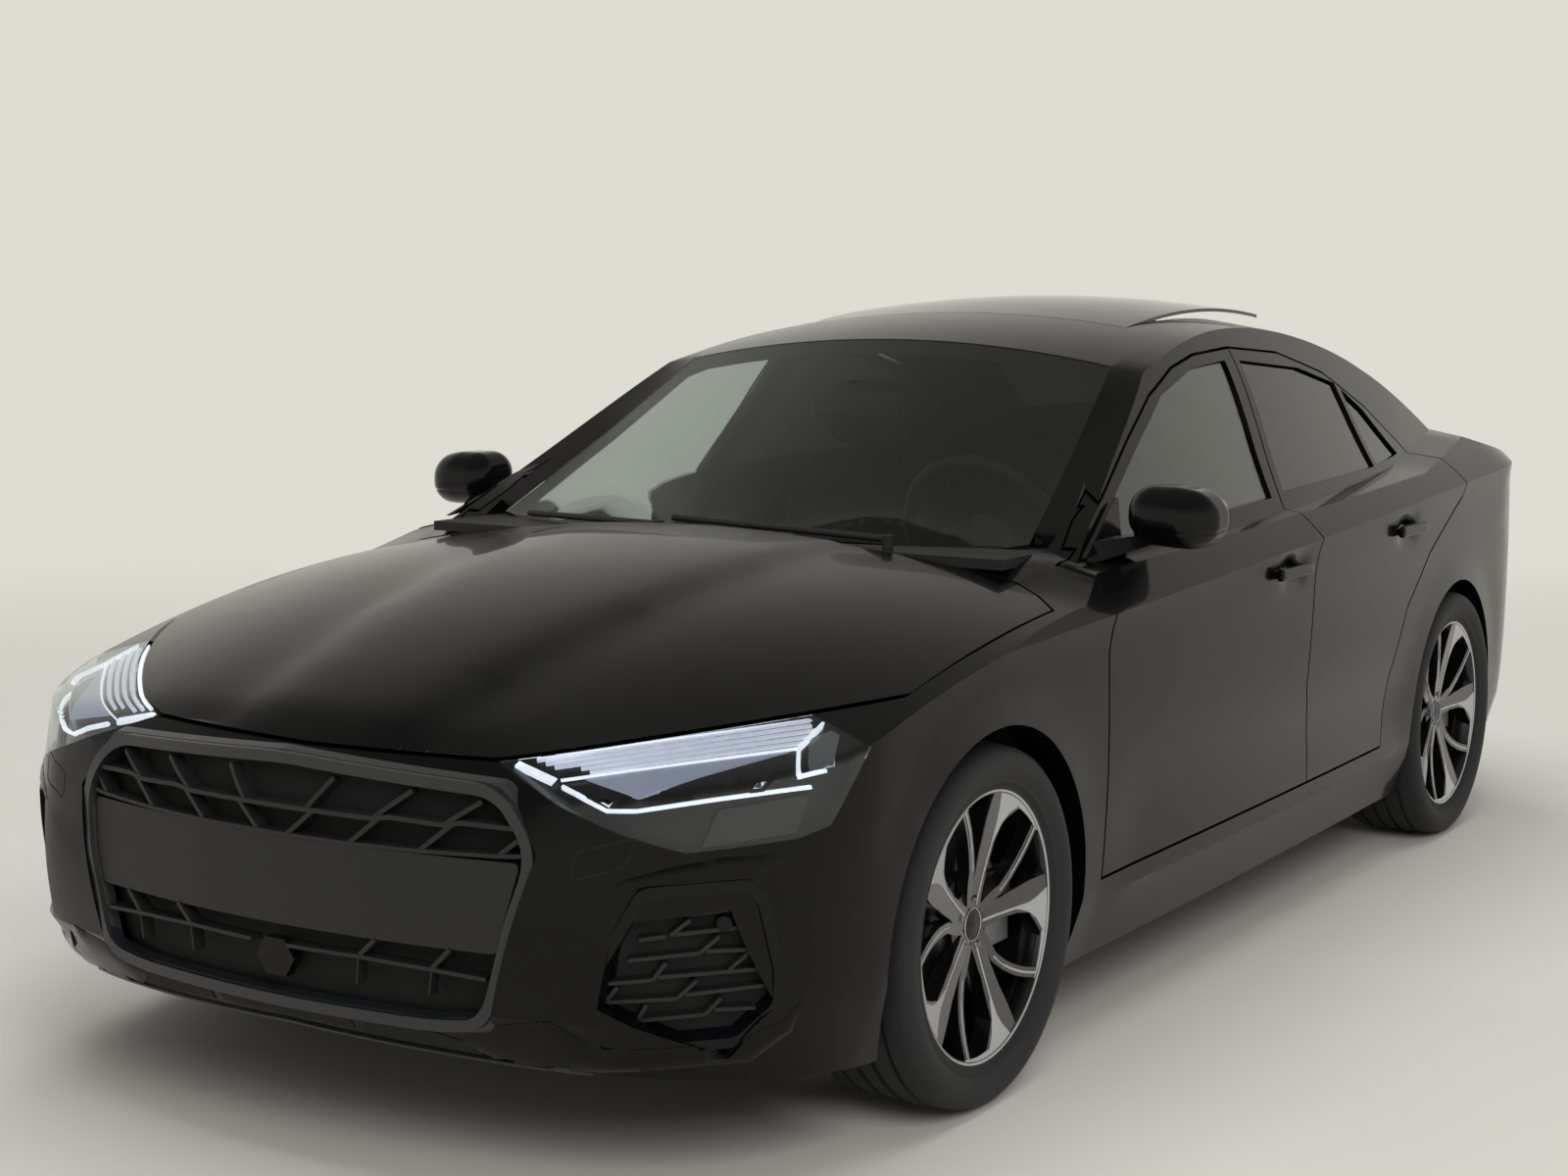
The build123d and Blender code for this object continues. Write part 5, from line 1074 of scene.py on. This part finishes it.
def nose_plate(bm, outline, thickness, out, carrier=None, step=20.0):
    """Closed plate over an outline of (y, z) on the nose or on a node's front or rear."""
    rim = [Vector(p) for p in dense(list(outline) + [outline[0]], step)[:-1]]

    def place(p):
        at, normal = carrier and end_hit(carrier, p) or nose_place(p[0], p[1])
        return at + normal * (out - thickness) * MM, normal, thickness

    plate(bm, rim, grid(rim, step, step * 2), place)


def single(name, bm, material, body="body", replaced=None, angle=35.0):
    """Piece from a bmesh."""
    mesh = bm_to_mesh(bm, name)
    shade(mesh, angle)
    return link(name, mesh, material, body, replaced)


def single_plate(name, outline, thickness, out, material, body="body", carrier=None):
    bm = bmesh.new()
    nose_plate(bm, outline, thickness, out, carrier)
    single(name, bm, material, body)


def make_grille():
    outline = rounded(whole_outline(GRILLE_OUTLINE), 52.0)
    ring = bmesh.new()
    nose_bar(ring, outline, 27.0, 22.0, 1.0, closed=True)
    nose_bar(ring, rounded(whole_outline(GRILLE_OUTLINE), 8.0), 34.0, 18.0, -7.0, closed=True)
    single("grille_frame", ring, "satin_lacquer", replaced="grille")
    # Dark felt sheet behind the grille: painted shade in the openings between its bars
    single_plate("grille_backing", outline, 4.0, -44.0, "needle_felt")
    ribs = bmesh.new()
    for line, width, depth in GRILLE_BARS:
        other = [(-y, z) for y, z in line]
        for each in [other[:0:-1] + line] if line[0][0] == 0 else [line, other]:
            nose_bar(ribs, each, width, depth, -6.0)
    for (y0, z0), (y1, z1) in GRILLE_RIBS:
        for sign in (1, -1):
            nose_bar(ribs, [(sign * y0, z0), (sign * y1, z1)], 11.0 if abs(y1 - y0) > 10 else 4.0, 24.0, -7.0)
    single("grille_ribs", ribs, "grained_plastic")
    single_plate("grille_band", rounded(BAND, 14.0), 14.0, -9.0, "grained_plastic")
    hexagon = [(14 + 42 * math.cos(a), 342 + 36 * math.sin(a)) for a in np.arange(6) * math.pi / 3]
    single_plate("sensor_cover", hexagon, 20.0, -6.0, "piano_black_trim")


def make_splitter():
    bumper = Carrier("front_bumper", "grille")
    dark, lip = bmesh.new(), bmesh.new()
    middle, side = SPLITTER_OPENINGS
    # Dark felt plates laid on the bumper stand for the splitter openings: painted shade
    for outline in (middle, side, [(-y, z) for y, z in side]):
        nose_plate(dark, outline, 5.0, 1.2, bumper)
    single("splitter_openings", dark, "needle_felt")
    end_bar(lip, bumper, SPLITTER_LIP, 25.0, 4.0, 9.0, 8.0)
    single("splitter_lip", lip, "satin_lacquer")


# Side intake, in pixels of the photograph
INTAKE_RIM = [(655, 912), (762, 903), (778, 917), (795, 990), (793, 1025), (752, 1062), (612, 1075), (585, 1030)]
INTAKE_SURROUND = [(640, 900), (765, 892), (800, 960), (812, 1030), (765, 1080), (620, 1088), (560, 1035)]
INTAKE_LINES = [
    [(672, 937), (732, 931), (765, 926)], [(652, 961), (680, 957)], [(690, 955), (770, 946)],
    [(641, 982), (715, 974)], [(722, 972), (773, 970)], [(617, 1006), (665, 1002)], [(672, 999), (778, 990)],
    [(620, 1025), (690, 1021)], [(700, 1017), (781, 1007)], [(647, 1044), (720, 1037)], [(730, 1032), (772, 1030)],
    [(732, 931), (750, 917)], [(685, 956), (705, 940)], [(715, 974), (735, 957)], [(745, 991), (767, 972)],
    [(666, 1002), (680, 984)], [(691, 1021), (712, 1002)], [(617, 1025), (630, 1009)], [(652, 1041), (660, 1027)],
    [(720, 1037), (737, 1020)],
]


def make_intakes():
    skin = Carrier("front_bumper")
    around = [skin.pixel(p[0], p[1]) for p in dense(INTAKE_SURROUND + [INTAKE_SURROUND[0]], 12.0)]

    def sunk(depth):
        return Carrier(through=[found[0] for found in around if found], lift=-depth)

    backing, ribs, rim, sensor = (bmesh.new() for _ in range(4))
    # Dark felt sheet at the back of the intake: painted shade behind its ribs
    pixel_patch(backing, sunk(24.0), INTAKE_SURROUND, 4.0)
    for line in INTAKE_LINES:
        pixel_strip(ribs, sunk(21.0), line, 9.0, 16.0)
    pixel_strip(rim, sunk(17.0), rounded(INTAKE_RIM, 9.0), 26.0, 22.0, closed=True)
    for side in (INTAKE_RIM[4:8], INTAKE_RIM[7:] + INTAKE_RIM[:1]):
        pixel_strip(rim, sunk(22.0), side, 34.0, 10.0)
    circle = [(739 + 8 * math.cos(t), 943 + 8 * math.sin(t)) for t in np.arange(16) * math.pi / 8]
    pixel_patch(sensor, sunk(14.0), circle, 14.0, step=4.0)
    both_sides("intake_backing", backing, "needle_felt")
    both_sides("intake_ribs", ribs, "grained_plastic", replaced="side_intakes")
    both_sides("intake_rim", rim, "piano_black_trim")
    both_sides("intake_sensor", sensor, "piano_black_trim")


LAMP_STRIPS = [
    # line of pixels, width, thickness
    ([(529, 782), (566, 799)], 16.0, 6.0),
    ([(573, 798), (813, 766)], 3.0, 5.0),
    ([(575, 805), (620, 828), (650, 828), (730, 816), (826, 803)], 7.0, 7.0),
    ([(840, 742), (815, 767), (814, 792)], 7.0, 8.0),
    ([(813, 793), (841, 786)], 7.0, 8.0),
]
LAMP_PATCHES = [
    # piece, outline of pixels, depth, step, finish
    # The prism's glow is a painted reflection off the reflector, not a lit part
    ("headlamp_prism", [(598, 797), (652, 816), (720, 794), (806, 770)], 28.0, 6.0, "lit_prism"),
    ("headlamp_projector", [(733, 827), (824, 810), (812, 849), (716, 865)], 22.0, 8.0, "satin_lacquer"),
    ("headlamp_indicator", [(826, 757), (859, 745), (850, 782), (824, 787)], 24.0, 6.0, "metallised_reflector"),
]
GUIDE_DEPTH, BRICK_ROWS, BRICKS_IN_ROW, BRICK_PITCH = 22.0, 5, 17, 18.0


def lamp_shell(node, thickness, inset, ahead=1, limit=0.08):
    """Closed shell under the outer face of a CAD lamp: ahead is 1 for the front and -1 for the rear."""
    bm = node_copy(node)
    bmesh.ops.delete(bm, geom=[face for face in bm.faces if face.normal.x * ahead <= limit], context="FACES")
    split_long_edges(bm, 0.03)
    for v in bm.verts:
        v.co -= Vector((0.86 * ahead, 0.5 if v.co.y > 0 else -0.5, 0)) * inset * MM
    bmesh.ops.recalc_face_normals(bm, faces=bm.faces)
    if sum(face.normal.x * ahead * face.calc_area() for face in bm.faces) < 0:
        bmesh.ops.reverse_faces(bm, faces=bm.faces)
    bmesh.ops.solidify(bm, geom=bm.faces[:] + bm.edges[:] + bm.verts[:], thickness=thickness * MM)
    bmesh.ops.recalc_face_normals(bm, faces=bm.faces)
    return bm


def make_headlamps():
    single("headlamp_lens", lamp_shell("headlamps", 2.5, 0.0), "lamp_polycarbonate",
           replaced="headlamps", angle=50.0)
    single("headlamp_housing", lamp_shell("headlamps", 3.0, 34.0), "piano_black_trim")
    face = Carrier("headlamps")
    lit = bmesh.new()
    for line, width, thickness in LAMP_STRIPS:
        pixel_strip(lit, face, line, width, thickness, depth=GUIDE_DEPTH)
    both_sides("headlamp_light_guide", lit, "lit_guide")
    for name, outline, depth, step, material in LAMP_PATCHES:
        patch = bmesh.new()
        pixel_patch(patch, face, outline, 5.0, depth, step)
        both_sides(name, patch, material)
    make_bricks(face)


def make_bricks(face):
    """Rows of small lit bricks behind the lens."""
    spots, turns = [], []
    # Pixels: each row is set off from the one above and slopes with the lamp's upper edge
    for row, i in itertools.product(range(BRICK_ROWS), range(BRICKS_IN_ROW)):
        u = 558 + BRICK_PITCH * (i + 0.5 * (row % 2))
        v = 775 + row * 4.9 - (u - 560) * (0.142 - row * 0.002)
        found = face.pixel(u, v, GUIDE_DEPTH)
        ahead = face.pixel(u + 6, v - 0.8, GUIDE_DEPTH)
        if 550 + row * 13 <= u <= 838 - row * 5 and found and ahead:
            x_axis = (ahead[0] - found[0]).normalized()
            z_axis = (found[1] - x_axis * found[1].dot(x_axis)).normalized()
            basis = Matrix((x_axis, z_axis.cross(x_axis), z_axis)).transposed()
            for sign in (1, -1):
                flip = Matrix.Diagonal((1, sign, 1))
                spots.append(flip @ (found[0] + found[1] * MM))
                turns.append(tuple((flip @ basis @ flip).to_euler("XYZ")))
    brick = bm_to_mesh(block((-15, -3.5, -3), (15, 3.5, 3)), "brick")
    repeated("headlamp_bricks", spots, turns, brick, "lit_brick", "lamp_clear", "body")


# Cabin

def padded_block(size, radius, crown, bolster, seams, cuts):
    """Upholstered block: rounded box with a crowned top, raised sides and sewn grooves, top at +Z."""
    bm = bmesh.new()
    bmesh.ops.create_cube(bm, size=2.0)
    bmesh.ops.subdivide_edges(bm, edges=bm.edges[:], cuts=cuts, use_grid_fill=True)
    half = Vector(size) / 2
    core = Vector([h - radius for h in half])
    for v in bm.verts:
        unit = v.co.copy()
        place = Vector([unit[k] * half[k] for k in range(3)])
        inner = Vector([max(-core[k], min(core[k], place[k])) for k in range(3)])
        way = place - inner
        if way.length > 1e-6:
            place = inner + way.normalized() * radius
        if unit.z > 0.4:
            x, y = unit.x, unit.y
            place.z += crown * (1 - x * x) * (1 - y * y)
            place.z += bolster * max(0.0, abs(y) - 0.55) / 0.45 * (1 - x ** 6)
            for axis, at in seams:
                away = abs((x if axis == "x" else abs(y)) - at) * half[0 if axis == "x" else 1]
                inside = (1 - abs(y) ** 8) * (1 - abs(x) ** 8)
                place.z -= settings().seam_depth / MM * bump(away, 9.0) * inside
        v.co = place * MM
    return bm


def pad(size, radius, crown, bolster, seams, place, lean, cuts=22):
    """Upholstered block turned about Y and set in its place."""
    bm = padded_block(size, radius, crown, bolster, seams, cuts)
    spin = Matrix.Translation(Vector(place) * MM) @ Matrix.Rotation(math.radians(lean), 4, "Y")
    bmesh.ops.transform(bm, matrix=spin, verts=bm.verts)
    return bm


def upholstery(name, replaced, parts):
    """Padded piece from its blocks."""
    mesh = join(parts, name)
    shade(mesh, 60.0)
    link(name, mesh, "seat_weave", replaced=replaced)


def make_seats():
    (_, _, z0), (x1, _, z1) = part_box("front_seats")
    base_x, floor_z, back_z = x1 / MM - 310, z0 / MM, z1 / MM - 190
    rise = back_z - SEAT_CUSHION_Z
    upright = 90 - math.degrees(math.atan2(150, rise))
    for side, sign in LEFT_RIGHT:
        y = sign * SEAT_Y
        upholstery("front_seat_" + side, "front_seats", [
            pad((590, 440, 118), 42, 8, 16, [("x", -0.35), ("x", 0.15), ("y", 0.55)],
                (base_x + 8, y, SEAT_CUSHION_Z - 62), -3),
            pad((rise - 6, 440, 96), 40, 6, 14, [("x", -0.4), ("x", 0.0), ("x", 0.4), ("y", 0.55)],
                (base_x - 308, y, SEAT_CUSHION_Z + rise / 2 - 8), upright),
            pad((160, 240, 84), 34, 5, 0, [("y", 0.7)], (base_x - 393, y, back_z + 103), 78, 14),
        ])
        name = "front_seat_frame_" + side
        mesh = join([block((base_x - 250, y - 175, floor_z + 2), (base_x + 215, y + 175, SEAT_CUSHION_Z - 108))]
                    + [block((base_x - 400, y + post, back_z - 40), (base_x - 386, y + post + 12, back_z + 60))
                       for post in (-67, 55)], name)
        shade(mesh)
        link(name, mesh, "grained_plastic")
    (x0, _, z0), (x1, _, _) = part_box("rear_bench")
    heel, bulkhead, low = x1 / MM - 100, x0 / MM, z0 / MM
    length = heel + 95 - bulkhead - 110
    between_seats = [("y", 0.22), ("y", 0.62)]
    upholstery("rear_bench_cushions", "rear_bench", [
        pad((length, 1108, 116), 40, 6, 6, [("x", -0.2), ("x", 0.4)] + between_seats,
            (bulkhead + 108 + length / 2, 0, low + 66), -4, 34),
        pad((440, 1108, 96), 40, 6, 6, [("x", -0.3), ("x", 0.3)] + between_seats,
            (bulkhead + 92, 0, low + 338), 76, 34),
    ] + [pad((112, 220, 66), 28, 4, 0, [("y", 0.7)], (bulkhead + 52, y, low + 618), 84, 12) for y in (-330, 0, 330)])


def make_panes():
    for node, body, material, slot in PANES:
        link(node + "_pane", smooth_copy(node, "_pane", 0.05, 40, 40), material, body, node)


# Left door mirror in millimetres: its glass is (y, z), the black triangle at the window's front corner (x, z)
MIRROR_CENTRE = (630.0, 898.0, 991.0)
MIRROR_SIZE = (156.0, 180.0, 122.0)
MIRROR_FOOT = [(812, 786, 903), (700, 792, 903), (790, 784, 946), (700, 782, 950), (676, 868, 938), (590, 868, 938),
               (660, 862, 958), (600, 862, 958)]
MIRROR_RIM = [(842, 956), (972, 960), (968, 1024), (846, 1030)]
SAIL = [(838, 920), (672, 936), (600, 1018), (640, 1006), (740, 962)]


def hull(points):
    bm = bmesh.new()
    verts = [bm.verts.new(Vector(p) * MM) for p in points]
    done = bmesh.ops.convex_hull(bm, input=verts)
    bmesh.ops.delete(bm, geom=[v for v in done["geom_interior"] if isinstance(v, bmesh.types.BMVert)], context="VERTS")
    bmesh.ops.recalc_face_normals(bm, faces=bm.faces)
    return bm


def sail_point(p, inset):
    """Point of the sail at (x, z), set in from the outer face of the side windows."""
    return p[0], 790.0 - 0.56 * (p[1] - 965.0) - inset - 0.045 * max(p[0] - 500, 0), p[1]


def mirror_plate(name, outline, at, back, front, material):
    """Flat part of a mirror: at gives an outline's point at its back or its front."""
    bm = bmesh.new()
    prism(bm, outline, lambda p: Vector(at(p, back)) * MM, lambda p, _: Vector(at(p, front)) * MM)
    bmesh.ops.recalc_face_normals(bm, faces=bm.faces)
    both_sides(name, bm, material, "door_front_")


def make_mirrors():
    """Mirror shells, feet, mirror glasses and the black triangles ahead of the front windows."""
    shell = padded_block(MIRROR_SIZE, 50.0, 0.0, 0.0, [], 26)
    for v in shell.verts:
        x, y, z = v.co / MM
        t = y / (MIRROR_SIZE[1] / 2)
        out = max(t, 0.0)
        if x > -40:
            x = -40 + (x + 40) * (1 - 0.30 * out ** 2) * (1 - 0.10 * (z / 57) ** 2)
        z = z * (1 - 0.20 * out ** 2) - (6.0 * t if z < 0 else 9.0 * out)
        place = Vector((x, y, z))
        v.co = (place - place.normalized() * 2.4 * bump(z + 26 + x * 0.06, 2.6) + Vector(MIRROR_CENTRE)) * MM
    both_sides("mirror_shell", shell, "piano_black_trim", "door_front_", "door_mirror_")
    both_sides("mirror_foot", hull(MIRROR_FOOT), "piano_black_trim", "door_front_")
    mirror_plate("mirror_glass", rounded(MIRROR_RIM, 22.0), lambda p, x: (x, p[0], p[1]), 560, 556,
                 "metallised_reflector")
    mirror_plate("mirror_sail", SAIL, sail_point, 12, 2, "piano_black_trim")


# Painted blade in pixels of the photograph; tail lines are (y, z) in millimetres, with their node and body
BLADE_ABOVE_INTAKE = [(617, 911), (640, 897), (690, 884), (740, 875), (790, 872), (802, 877), (770, 897), (735, 899),
                      (690, 905)]
TAIL_LINES = (([(430, 905), (560, 926)], "lid_lamps", "boot_lid"), ([(590, 931), (765, 944)], "tail_lamps", "body"),
              ([(440, 836), (552, 842)], "lid_lamps", "boot_lid"), ([(590, 848), (755, 858)], "tail_lamps", "body"))


def make_lamps_rear():
    """Tail lamp lenses over a dark housing, with thin red light guides."""
    for node, body in (("tail_lamps", "body"), ("lid_lamps", "boot_lid")):
        single(node + "_lens", lamp_shell(node, 2.5, 0.0, -1), "red_polycarbonate", body, node, 50.0)
        single(node + "_housing", lamp_shell(node, 3.0, 18.0, -1), "cabin_skin", body)
    for i, (line, node, body) in enumerate(TAIL_LINES):
        guide = bmesh.new()
        end_bar(guide, Carrier(node, ahead=-1), line, 12.0, 10.0, 9.0, 5.0)
        both_sides("tail_guide_" + str(i), guide, "lit_tail", body)


# Lower blade and washer flap, in pixels of the photograph
LOWER_BLADE = [(470, 1062), (508, 1046), (560, 1042), (615, 1073), (745, 1066), (800, 1040), (818, 1022), (808, 1052),
               (765, 1084), (640, 1094), (555, 1095), (500, 1080)]
WASHER_FLAP = [(589, 870), (650, 855), (646, 868), (636, 886), (584, 899), (582, 890)]


def make_bumper_blades():
    skin = Carrier("front_bumper")
    blades, seam = bmesh.new(), bmesh.new()
    pixel_patch(blades, skin, BLADE_ABOVE_INTAKE, 0.6, step=6.0, crown=7.0)
    pixel_patch(blades, skin, LOWER_BLADE, 0.6, step=7.0, crown=9.0)
    both_sides("bumper_blade", blades, "gloss_enamel")
    pixel_strip(seam, skin, WASHER_FLAP, 2.5, 0.5, closed=True)
    both_sides("washer_flap_seam", seam, "needle_felt")


# Rear of the car, (y, z) in millimetres
REAR_DIFFUSER = [(-570, 330), (570, 330), (540, 258), (470, 226), (-470, 226), (-540, 258)]
DIFFUSER_FINS = (-300, -100, 100, 300)
PLATE_BLANK = [(-260, 752), (260, 752), (260, 862), (-260, 862)]


def make_tail():
    """Dark lower bumper with fins, blank number plate, boot lip and the ledge above the plate."""
    skin, lid = (Carrier(node, ahead=-1) for node in ("rear_bumper", "boot_lid"))
    dark, lip, ledge = (bmesh.new() for _ in range(3))
    nose_plate(dark, rounded(REAR_DIFFUSER, 30.0), 8.0, 2.0, skin)
    for y in DIFFUSER_FINS:
        end_bar(dark, skin, [(y, 322), (y, 230)], 15.0, 4.0, 9.0, 16.0)
    single("rear_diffuser", dark, "grained_plastic")
    single_plate("plate_blank", rounded(PLATE_BLANK, 10.0), 3.0, 3.5, "plate_aluminium",
                 "boot_lid", lid)
    found = []
    for p in dense([(-455, 930), (455, 930)], 25.0):
        back = end_hit(lid, p)
        top = back and lid.hit(Vector((back[0].x + 0.028, back[0].y, 1.3)), Vector((0, 0, -1)))
        if top:
            found.append((top[0] - top[1] * 0.004, top[1]))
    ribbon(lip, found, 46.0, 12.0)
    single("boot_lip", lip, "gloss_enamel", "boot_lid")
    end_bar(ledge, lid, [(-300, 884), (300, 884)], 20.0, 3.0, 16.0, 12.0)
    single("boot_ledge", ledge, "piano_black_trim", "boot_lid")


# Stage

def make_camera():
    right, up, ahead = camera_axes()
    basis = Matrix((right, up, -ahead)).transposed() @ Matrix.Rotation(CAMERA_ROLL, 3, "Z")
    data = bpy.data.cameras.new("camera")
    data.sensor_width = 36.0
    data.lens = FOCAL_PIXELS / PHOTO_SIZE[0] * data.sensor_width
    camera = bpy.data.objects.new("camera", data)
    camera.matrix_world = Matrix.Translation(CAMERA_PLACE) @ basis.to_4x4()
    bpy.context.scene.collection.objects.link(camera)
    bpy.context.scene.camera = camera


def seen_directly(tree):
    """1 for camera, mirror and see-through rays, 0 for the rays that light things."""
    path = add(tree, "ShaderNodeLightPath")
    first = add(tree, "ShaderNodeMath", {0: path.outputs["Is Camera Ray"], 1: path.outputs["Is Glossy Ray"]},
                operation="MAXIMUM")
    return add(tree, "ShaderNodeMath", {0: first.outputs["Value"], 1: path.outputs["Is Transmission Ray"]},
               operation="MAXIMUM").outputs["Value"]


def backdrop():
    return list(settings().backdrop) + [1.0]


def make_world():
    world = bpy.data.worlds.new("studio")
    bpy.context.scene.world = world
    world.use_nodes = True
    tree = world.node_tree
    tree.nodes.clear()
    light = add(tree, "ShaderNodeBackground", {"Color": linear("#f1f1ee"), "Strength": 0.5})
    height = add(tree, "ShaderNodeSeparateXYZ", {"Vector": add(tree, "ShaderNodeTexCoord").outputs["Generated"]})
    level = add(tree, "ShaderNodeMapRange", {"Value": height.outputs["Z"], "From Min": 0.14, "From Max": 0.85,
                                             "To Min": 1.0, "To Max": 0.22}, interpolation_type="SMOOTHSTEP")
    shown = add(tree, "ShaderNodeBackground", {"Color": backdrop(), "Strength": level.outputs["Result"]})
    mixed = add(tree, "ShaderNodeMixShader", {0: seen_directly(tree), 1: light.outputs[0], 2: shown.outputs[0]})
    add(tree, "ShaderNodeOutputWorld", {"Surface": mixed.outputs[0]})


def make_floor():
    """Floor of pale matt screed that fades into the backdrop."""
    bm = bmesh.new()
    bmesh.ops.create_circle(bm, cap_ends=True, segments=96, radius=60)
    mesh = bm_to_mesh(bm, "floor")
    mesh.transform(Matrix.Translation((0, 0, -0.0005)))
    material, tree, shader, place = new_material("floor_screed")
    mottle = add(tree, "ShaderNodeTexNoise", {"Vector": place, "Scale": 1.2, "Detail": 6.0})
    colour = add(tree, "ShaderNodeMix", {"Factor": mottle.outputs["Fac"], 6: linear("#b9b7b0"),
                                         7: linear("#c1bfb8")}, data_type="RGBA")
    fill(tree, shader, {"Base Color": colour.outputs[2], "Roughness": 0.8})
    away = add(tree, "ShaderNodeVectorMath", {0: place}, operation="LENGTH")
    fade = add(tree, "ShaderNodeMapRange", {"Value": away.outputs["Value"], "From Min": 3.2, "From Max": 8.5},
               interpolation_type="SMOOTHSTEP")
    far = add(tree, "ShaderNodeEmission", {"Color": backdrop(), "Strength": 1.0})
    both = add(tree, "ShaderNodeMixShader", {0: fade.outputs["Result"], 1: shader.outputs[0], 2: far.outputs[0]})
    tree.links.new(both.outputs[0], tree.nodes["Material Output"].inputs["Surface"])
    piece = bpy.data.objects.new("floor", mesh)
    bpy.context.scene.collection.objects.link(piece)
    piece.data.materials.append(material)


LAMPS = [
    # name, place, aimed at, size, power
    ("key", (6.5, 7.0, 6.5), (0.4, 0.0, 0.6), 5.0, 620.0),
    ("overhead", (0.0, 0.0, 8.0), (0.0, 0.0, 0.0), 7.0, 480.0),
    ("rim", (-7.0, -5.0, 5.0), (0.0, 0.0, 0.8), 4.0, 320.0),
]


def make_lamps():
    for name, place, aim, size, power in LAMPS:
        data = bpy.data.lights.new(name, "AREA")
        data.size = size
        data.energy = power
        lamp = bpy.data.objects.new(name, data)
        way = Vector(aim) - Vector(place)
        lamp.matrix_world = Matrix.Translation(place) @ way.to_track_quat("-Z", "Y").to_matrix().to_4x4()
        lamp.visible_glossy = False
        lamp.visible_transmission = False
        bpy.context.scene.collection.objects.link(lamp)


class SALOON_OT_stage(bpy.types.Operator):
    """Camera, floor, world and lamps"""
    bl_idname = "saloon.stage"
    bl_label = "Stage"

    def execute(self, context):
        context.scene.view_settings.view_transform = "Standard"
        make_camera()
        make_world()
        make_floor()
        make_lamps()
        return {"FINISHED"}


class SALOON_OT_finishes(bpy.types.Operator):
    """Materials, and the CAD nodes that keep their shape"""
    bl_idname = "saloon.finishes"
    bl_label = "Finishes"

    def execute(self, context):
        make_materials()
        for name, nodes in NODE_FINISH:
            for node in nodes:
                mesh = CAD[node].data
                mesh.materials.clear()
                mesh.materials.append(MATERIALS[name])
        return {"FINISHED"}


class SALOON_OT_panels(bpy.types.Operator):
    """Painted body panels"""
    bl_idname = "saloon.panels"
    bl_label = "Panels"

    def execute(self, context):
        make_panels()
        return {"FINISHED"}


class SALOON_OT_wheels(bpy.types.Operator):
    """Wheels, brake discs, bolts and treaded tyres"""
    bl_idname = "saloon.wheels"
    bl_label = "Wheels and tyres"

    def execute(self, context):
        make_wheels()
        return {"FINISHED"}


class SALOON_OT_nose(bpy.types.Operator):
    """Grille, splitter and side intakes"""
    bl_idname = "saloon.nose"
    bl_label = "Grille and intakes"

    def execute(self, context):
        make_grille()
        make_splitter()
        make_intakes()
        return {"FINISHED"}


class SALOON_OT_headlamps(bpy.types.Operator):
    """Headlamp lenses, light guides and bricks"""
    bl_idname = "saloon.headlamps"
    bl_label = "Headlamps"

    def execute(self, context):
        make_headlamps()
        return {"FINISHED"}


class SALOON_OT_seats(bpy.types.Operator):
    """Upholstered front seats and rear bench"""
    bl_idname = "saloon.seats"
    bl_label = "Seats"

    def execute(self, context):
        make_seats()
        return {"FINISHED"}


class SALOON_OT_panes(bpy.types.Operator):
    """Window glass"""
    bl_idname = "saloon.panes"
    bl_label = "Glass"

    def execute(self, context):
        make_panes()
        return {"FINISHED"}


class SALOON_OT_outside(bpy.types.Operator):
    """Mirrors, tail lamps and bumper blades"""
    bl_idname = "saloon.outside"
    bl_label = "Mirrors and tail lamps"

    def execute(self, context):
        make_mirrors()
        make_lamps_rear()
        make_bumper_blades()
        make_tail()
        return {"FINISHED"}


OPERATORS = [SALOON_OT_stage, SALOON_OT_finishes, SALOON_OT_panels, SALOON_OT_wheels, SALOON_OT_nose,
             SALOON_OT_headlamps, SALOON_OT_seats, SALOON_OT_panes, SALOON_OT_outside]


class SALOON_PT_pieces(bpy.types.Panel):
    """Lists the pieces that can be made"""
    bl_idname = "SALOON_PT_pieces"
    bl_label = "Saloon"
    bl_space_type = "VIEW_3D"
    bl_region_type = "UI"
    bl_category = "Saloon"

    def draw(self, context):
        for name in SaloonSettings.__annotations__:
            self.layout.prop(context.scene.saloon, name)
        for operator in OPERATORS:
            self.layout.operator(operator.bl_idname)


def register():
    for cls in [SaloonSettings] + OPERATORS + [SALOON_PT_pieces]:
        bpy.utils.register_class(cls)
    bpy.types.Scene.saloon = PointerProperty(type=SaloonSettings)


def unregister():
    del bpy.types.Scene.saloon
    for cls in reversed([SaloonSettings] + OPERATORS + [SALOON_PT_pieces]):
        bpy.utils.unregister_class(cls)


def main():
    register()
    for operator in OPERATORS:
        group, name = operator.bl_idname.split(".")
        getattr(getattr(bpy.ops, group), name)()


if __name__ == "__main__":
    main()
